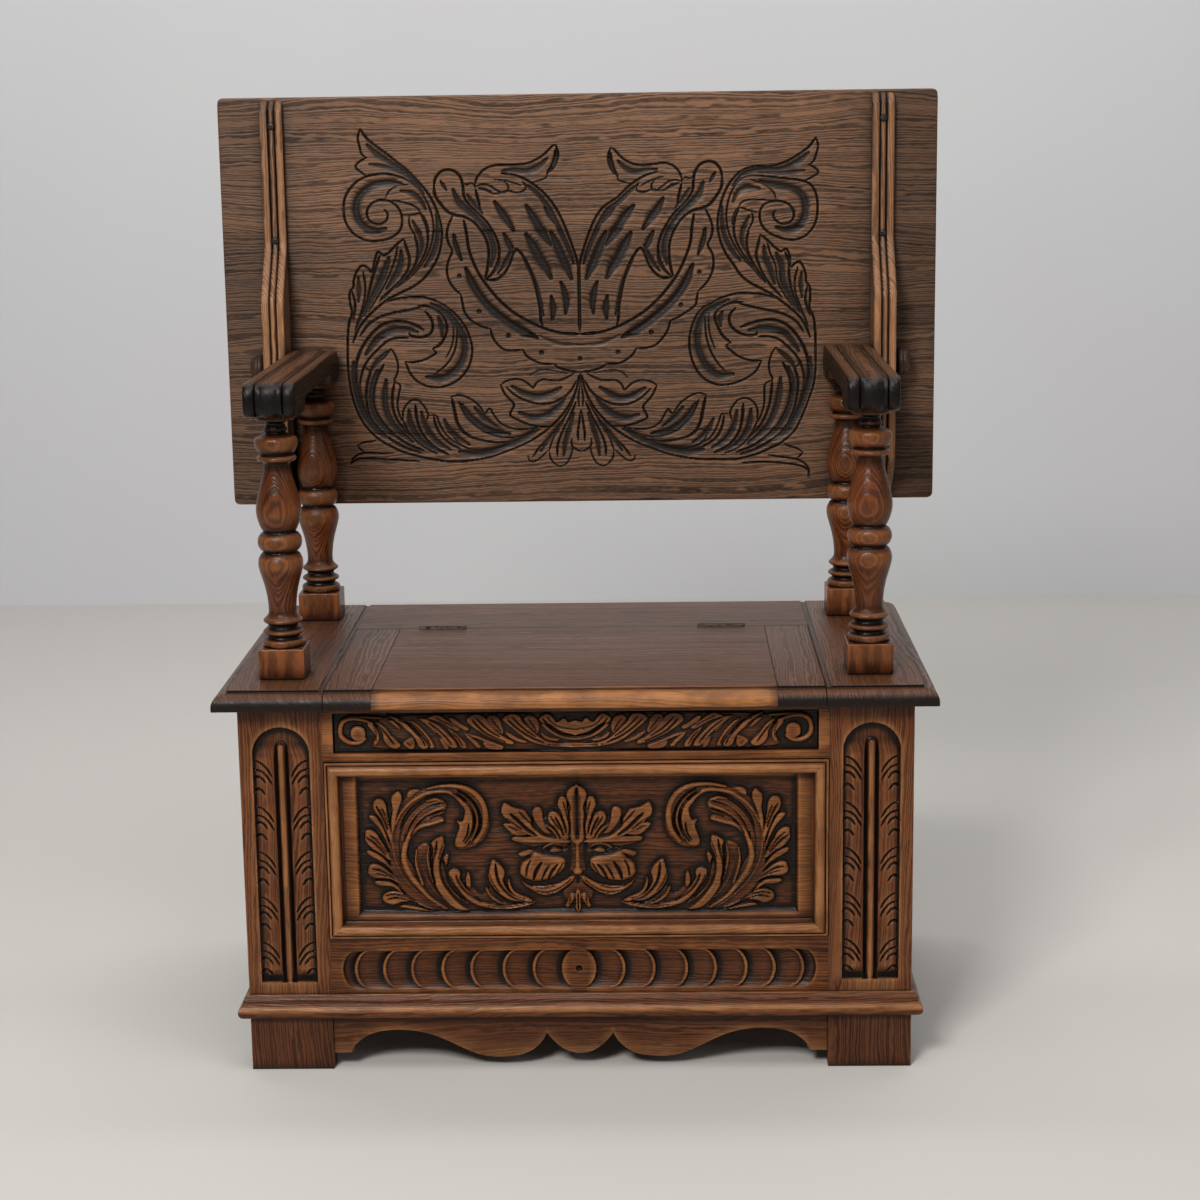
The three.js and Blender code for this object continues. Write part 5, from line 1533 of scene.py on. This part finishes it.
def carved_front():
    """Rails, panel and stiles of the front."""
    joint, soft = eased(JOINT_ARRIS, 2), eased(1.0)
    low, high = box = extent("front_rail_top")
    field_low, field_high = FRIEZE_FIELD[2:]
    rows = fine(
        (low[2] + 3, field_low - 1.6, 3), (field_low - 0.8, field_high + 0.8, 0.85),
        (field_high + 1, high[2] - 2, 3),
    )
    ways = (fine((-266.6, 266.6, 0.9)), rows)
    rail = board("rail_carved_top", box, "-Y", (joint, joint, soft, joint), ways, frieze_carving)
    finished(rail, "base", "carved_oak", oak("carved_oak", "X", 1.4), "front_rail_top")

    low, high = box = extent("front_rail_bottom")
    rows = fine((low[2] + 3, 92.5, 8), (94.2, 139.4, 0.9), (142, high[2] - 2, 3))
    ways = (fine((-265.6, 265.6, 0.9)), rows)
    rail = board("rail_carved_bottom", box, "-Y", (joint, joint, joint, soft), ways, lunette_carving)
    finished(rail, "base", "carved_oak", oak("carved_oak", "X", 5.2), "front_rail_bottom")

    low, high = box = extent("front_panel")
    columns = fine((low[0] + 4, -246, 6), (-245, 245, 1.02), (246, high[0] - 4, 6))
    rows = fine((low[2] + 3, 165, 4), (166.5, 339.5, 1.02), (341, high[2] - 3, 5))
    panel = board("panel_carved", box, "-Y", [eased(0.8, 2)] * 4, (columns, rows), panel_carving, wear=0)
    # Paler along the top of the sunk field, lifting the painted shade there under the moulding.
    add_wear_and_painted_light(panel, lambda x, y, z: 1.3 * ramp(z, 326, 335) * ramp(np.abs(x), 247, 242))
    finished(panel, "base", "carved_oak", oak("carved_oak", "X", 8.3), "front_panel")

    low, high = box = extent("front_stile_right")
    outer = eased(1.4)
    columns = fine((low[0] + 3, 287.5, 4), (288.6, 356.4, 0.85), (358, high[0] - 2.5, 4))
    rows = fine((4, 98, 12), (100.5, 398.5, 1.05), (401, high[2] - 2, 5))
    edges = (joint, outer, outer, joint)
    stile = board("stile_carved_right", box, "-Y", edges, (columns, rows), stile_carving)
    # Painted shade at the feet, darker towards the floor.
    mark_tone(stile, lambda x, y, z: -0.38 * ramp(z, 72, 56))
    finished_pair(
        stile, "stile_carved_left", "base", "frame_oak", "frame_oak", "Z", (0.7, 3.9), "front_stile",
    )


def stick(name, profile, origin, ways, length, mitres):
    """A moulding along a straight line. Its profile is (across, out), and ways are the directions across,
    out and along. Mitres say, for each end, how much longer the stick gets for each millimetre across."""
    across_way, out_way, along_way = np.array(ways, float)
    wide, out = np.array(profile + profile[:1], float).T
    ends = (-mitres[0] * wide, length + mitres[1] * wide)
    low, high = (
        np.array(origin) + wide[:, None] * across_way + out[:, None] * out_way + end[:, None] * along_way
        for end in ends
    )
    steps = max(2, int(length / 30))
    piece = shaped_grid(name, np.array([low + (high - low) * i / steps for i in range(steps + 1)]))
    # Paler on the proud parts of the profile and darker in its hollows: wear and staining, with painted
    # highlight and painted shade.
    around = np.convolve(np.pad(out[:-1], 2, mode="wrap"), np.ones(5) / 5, mode="valid")
    proud = np.clip((out[:-1] - around) * 0.9, -1.2, 0.8)
    mark_relief(piece, np.tile(np.append(proud, proud[0]), (steps + 1, 1)))
    return close_up(piece)


PANEL_MOULDING = (
    [(0.4, 0.0), (0.4, 10.2), (0.9, 10.8), (2.6, 10.8), (3.1, 10.3), (3.4, 8.4)]
    + arc((9.6, 8.7), 6.2, 178, -8, 16) + [(15.8, 6.6), (16.1, 4.6), (16.8, 3.0), (18.0, 2.2), (18.0, 0.0)]
)


def panel_mouldings():
    low, high = extent("panel_moulding_bottom")
    left, right, face, bottom = low[0], high[0], high[1], low[2]
    top = extent("panel_moulding_top")[1][2]
    width, height = right - left, top - bottom
    for count, (side, x, z, across_way, along_way, length, tone) in enumerate((
        ("top", left, top, (0, 0, -1), (1, 0, 0), width, 0),
        ("bottom", left, bottom, (0, 0, 1), (1, 0, 0), width, 0),
        ("left", left, bottom, (1, 0, 0), (0, 0, 1), height, -0.16),
        ("right", right, bottom, (-1, 0, 0), (0, 0, 1), height, -0.16),
    )):
        ways = (across_way, (0, -1, 0), along_way)
        moulding = stick(f"moulding_{side}", PANEL_MOULDING, (x, face, z), ways, length, (-1, -1))
        # Paler along the bead's ridge: wear, with a painted highlight.
        add_wear_and_painted_light(moulding, lambda x, y, z: 0.6 * ramp(y, face - 11, face - 14))
        mark_tone(moulding, lambda x, y, z: tone)
        timber = oak("frame_oak", "Z" if side in ("left", "right") else "X", 2.7 * count + 1)
        finished(moulding, "base", "frame_oak", timber, f"panel_moulding_{side}")


PLINTH = (
    [(0.0, 0.0), (4.5, 0.0)] + arc((3.2, 8.6), 8.6, -75, 62, 14) + [(7.0, 16.8), (6.4, 17.6), (6.4, 19.0)]
    + arc((1.8, 20.6), 4.6, -8, 62, 6) + [(3.0, 25.6), (2.6, 27.0), (0.0, 27.0)]
)
PLINTH_GAP = 0.3


def plinth():
    low, high = extent("plinth_front")
    front_y, side_x, foot = high[1], extent("front_stile_right")[1][0], low[2]
    origin = (-side_x + PLINTH_GAP, front_y, foot)
    ways = ((0, -1, 0), (0, 0, 1), (1, 0, 0))
    front = stick("plinth_moulding_front", PLINTH, origin, ways, (side_x - PLINTH_GAP) * 2, (1, 1))
    # Paler along the top of the torus: a painted highlight, with wear.
    add_wear_and_painted_light(front, lambda x, y, z: (
        0.8 * ramp(z, 68, 75) * ramp(z, 81, 78) * ramp(y, front_y - 8, front_y - 11)
    ))
    finished(front, "base", "frame_oak", oak("frame_oak", "X", 6.1), "plinth_front")
    depth = extent("plinth_right")[1][1] - front_y
    ways = ((1, 0, 0), (0, 0, 1), (0, 1, 0))
    side = stick("plinth_moulding_right", PLINTH, (side_x, front_y, foot), ways, depth, (1, 0))
    finished_pair(side, "plinth_moulding_left", "base", "frame_oak", "frame_oak", "Y", (2.1, 4.4), "plinth")


# (distance from the middle, height of the apron there)
APRON_EDGE = [
    (0, 46), (9, 45), (20, 40), (31, 30), (37, 22), (37, 22), (42, 31), (52, 41), (66, 47.5), (82, 50),
    (97, 50), (112, 47.5), (128, 41), (146, 32), (164, 24), (184, 19), (203, 17.6), (220, 18.6), (236, 23),
    (248, 31), (255, 39), (256, 44), (256, 44), (256, 44.2), (276, 44.2),
]


def apron():
    low, high = extent("apron")
    right = smooth_profile(APRON_EDGE, 3.0)
    edge = sorted({(round(x * sense, 3), round(drop, 3)) for x, drop in right for sense in (-1, 1)})
    xs, drops = np.array(edge).T
    xs = np.clip(xs, low[0], high[0])
    front, back, top = low[1], high[1], high[2]
    # Round a section of the board: (y, share of the height, set up from the edge, wear).
    around = [
        (back, 0, 0, 0), (front, 0, 0, 0), (front, 0.5, 0, 0), (front, 1, 2.0, 0.5),
        (front + 0.5, 1, 0.5, 0.8), (front + 2.0, 1, 0, 0), (back - 2.0, 1, 0, 0), (back - 0.5, 1, 0.5, 0.5),
        (back, 1, 2.0, 0), (back, 0, 0, 0),
    ]
    rows = [
        np.column_stack([xs, np.full(len(xs), y), top - drops * share + lift]) for y, share, lift, _ in around
    ]
    piece = shaped_grid("apron_shaped", np.array(rows))
    mark_relief(piece, [[wear] * len(xs) for *_, wear in around])
    close_up(piece)
    # Painted shade: the apron, low under the chest, is darker all over.
    mark_tone(piece, lambda x, y, z: -0.25)
    finished(piece, "base", "frame_oak", oak("frame_oak", "X", 7.7), "apron")


def plain_parts():
    """Sides, back, floor and bearers."""
    parts = []
    for side, face, shift in (("right", "+X", 0.0), ("left", "-X", 5.0)):
        for count, (part, grain) in enumerate((
            ("side_stile_front", "Z"), ("side_stile_back", "Z"), ("side_rail_top", "Y"),
            ("side_rail_bottom", "Y"), ("side_panel", "Z"),
        )):
            parts.append((f"{part}_{side}", face, "frame_oak", grain, shift + 1.3 * (count + 1)))
    for part in ("back_rail_top", "back_rail_bottom", "back_panel"):
        parts.append((part, "+Y", "plain_oak", "X", len(part) * 0.7))
    for part in ("chest_floor", "floor_bearer_front", "floor_bearer_back"):
        parts.append((part, "+Z", "plain_oak", "X", len(part) * 0.9))
    for part, face, timber, grain, shift in parts:
        piece = board(part + "_board", extent(part), face, [eased(0.8)] * 4, ((4, 4, 18), (4, 4, 18)))
        finished(piece, "base", timber, oak(timber, grain, shift), part)


# ---------------------------------------------------------------- room, light and camera


def painted(name, shown, cloudy):
    material, tree, shader = new_material(name)
    cloud = noise(tree, node(tree, "TexCoord").outputs["Object"], 1.2, 2.0, 0.5)
    tint = blended(tree, ranged(tree, cloud, 0.3, 0.7), colour(shown), colour(cloudy))
    wired(tree, shader, {"Base Color": tint, "Roughness": 0.85})
    return material


def open_from_behind(material):
    """Lets the bench be seen through the backdrop from behind it."""
    tree = material.node_tree
    both = node(tree, "MixShader", {
        0: node(tree, "NewGeometry").outputs["Backfacing"],
        1: tree.nodes["Principled BSDF"].outputs[0],
        2: node(tree, "BsdfTransparent").outputs[0],
    })
    wired(tree, tree.nodes["Material Output"], {0: both.outputs[0]})
    return material


def sheet(name, place, turn, size, material):
    piece = settled(basic(bpy.ops.mesh.primitive_plane_add, size=1), place, turn, (*size, 1))
    piece.name = name
    piece.data.materials.append(material)
    return piece


def plain_room():
    """A pale floor and wall."""
    floor_paint = painted("pale_floor", "c5c2bd", "c3c0bb")
    floor = sheet("floor", (0, -4.2, 0), (0, 0, 0), (14, 14), floor_paint)
    wall_paint = open_from_behind(painted("pale_wall", "cecfd0", "cccbce"))
    wall = sheet("backdrop", (0, 2.4, 3.9), (math.pi / 2, 0, 0), (14, 8), wall_paint)


# Name, place and aim in metres, size in metres, power in watts and colour.
LAMPS = (
    ("window_front", (-1.0, -3.0, 2.8), (0, 0, 0.55), (1.0, 1.0), 116, (1.0, 0.985, 0.965)),
    ("fill_right", (2.6, -2.4, 1.9), (0, 0, 0.5), (1.4, 1.4), 9, (1.0, 0.98, 0.96)),
    ("top_soft", (0.2, -1.0, 3.2), (0, 0.1, 0.5), (2.0, 1.2), 34, (1.0, 0.99, 0.98)),
    ("wall_wash", (0, 0.9, 3.6), (0, 2.4, 1.1), (5.0, 0.8), 58, (1.0, 1.0, 1.0)),
)
SKY_COLOUR = (0.95, 0.97, 1.0, 1)
SKY_STRENGTH = 0.13
CAMERA_PLACE = (0.08695, -2.75272, 1.05445)
CAMERA_PITCH, CAMERA_YAW, CAMERA_ROLL = (math.radians(a) for a in (11.5611, 1.3049, -0.8167))
LENS = 72.404


def light():
    world = bpy.data.worlds.new("plain_room")
    bpy.context.scene.world = world
    world.use_nodes = True
    sky = world.node_tree.nodes["Background"]
    wired(world.node_tree, sky, {"Color": SKY_COLOUR, "Strength": SKY_STRENGTH})
    for name, place, aim, size, power, tint in LAMPS:
        data = bpy.data.lights.new(name, "AREA")
        data.shape = "RECTANGLE"
        data.size, data.size_y = size
        data.energy = power
        data.color = tint
        lamp = bpy.data.objects.new(name, data)
        bpy.context.scene.collection.objects.link(lamp)
        lamp.location = place
        lamp.rotation_euler = (Vector(aim) - Vector(place)).to_track_quat("-Z", "Y").to_euler()


def camera():
    """The camera at the photograph's place, with its pitch, yaw and roll."""
    data = bpy.data.cameras.new("camera")
    data.sensor_width = 36
    data.lens = LENS
    data.clip_end = 60
    made = bpy.data.objects.new("camera", data)
    bpy.context.scene.collection.objects.link(made)
    level = math.cos(CAMERA_PITCH)
    ahead = Vector((-math.sin(CAMERA_YAW) * level, math.cos(CAMERA_YAW) * level, -math.sin(CAMERA_PITCH)))
    right = Vector((math.cos(CAMERA_YAW), math.sin(CAMERA_YAW), 0))
    up = right.cross(ahead)
    rolled_right = right * math.cos(CAMERA_ROLL) + up * math.sin(CAMERA_ROLL)
    rolled_up = up * math.cos(CAMERA_ROLL) - right * math.sin(CAMERA_ROLL)
    turn = Matrix((rolled_right, rolled_up, -ahead)).transposed().to_4x4()
    made.matrix_world = Matrix.Translation(CAMERA_PLACE) @ turn
    bpy.context.scene.camera = made
    bpy.context.scene.view_settings.view_transform = "Standard"


planks()
battens()
batten_screws()
balusters()
arms()
pegs()
seat()
hinges()
carved_front()
panel_mouldings()
plinth()
apron()
plain_parts()
plain_room()
light()
camera()
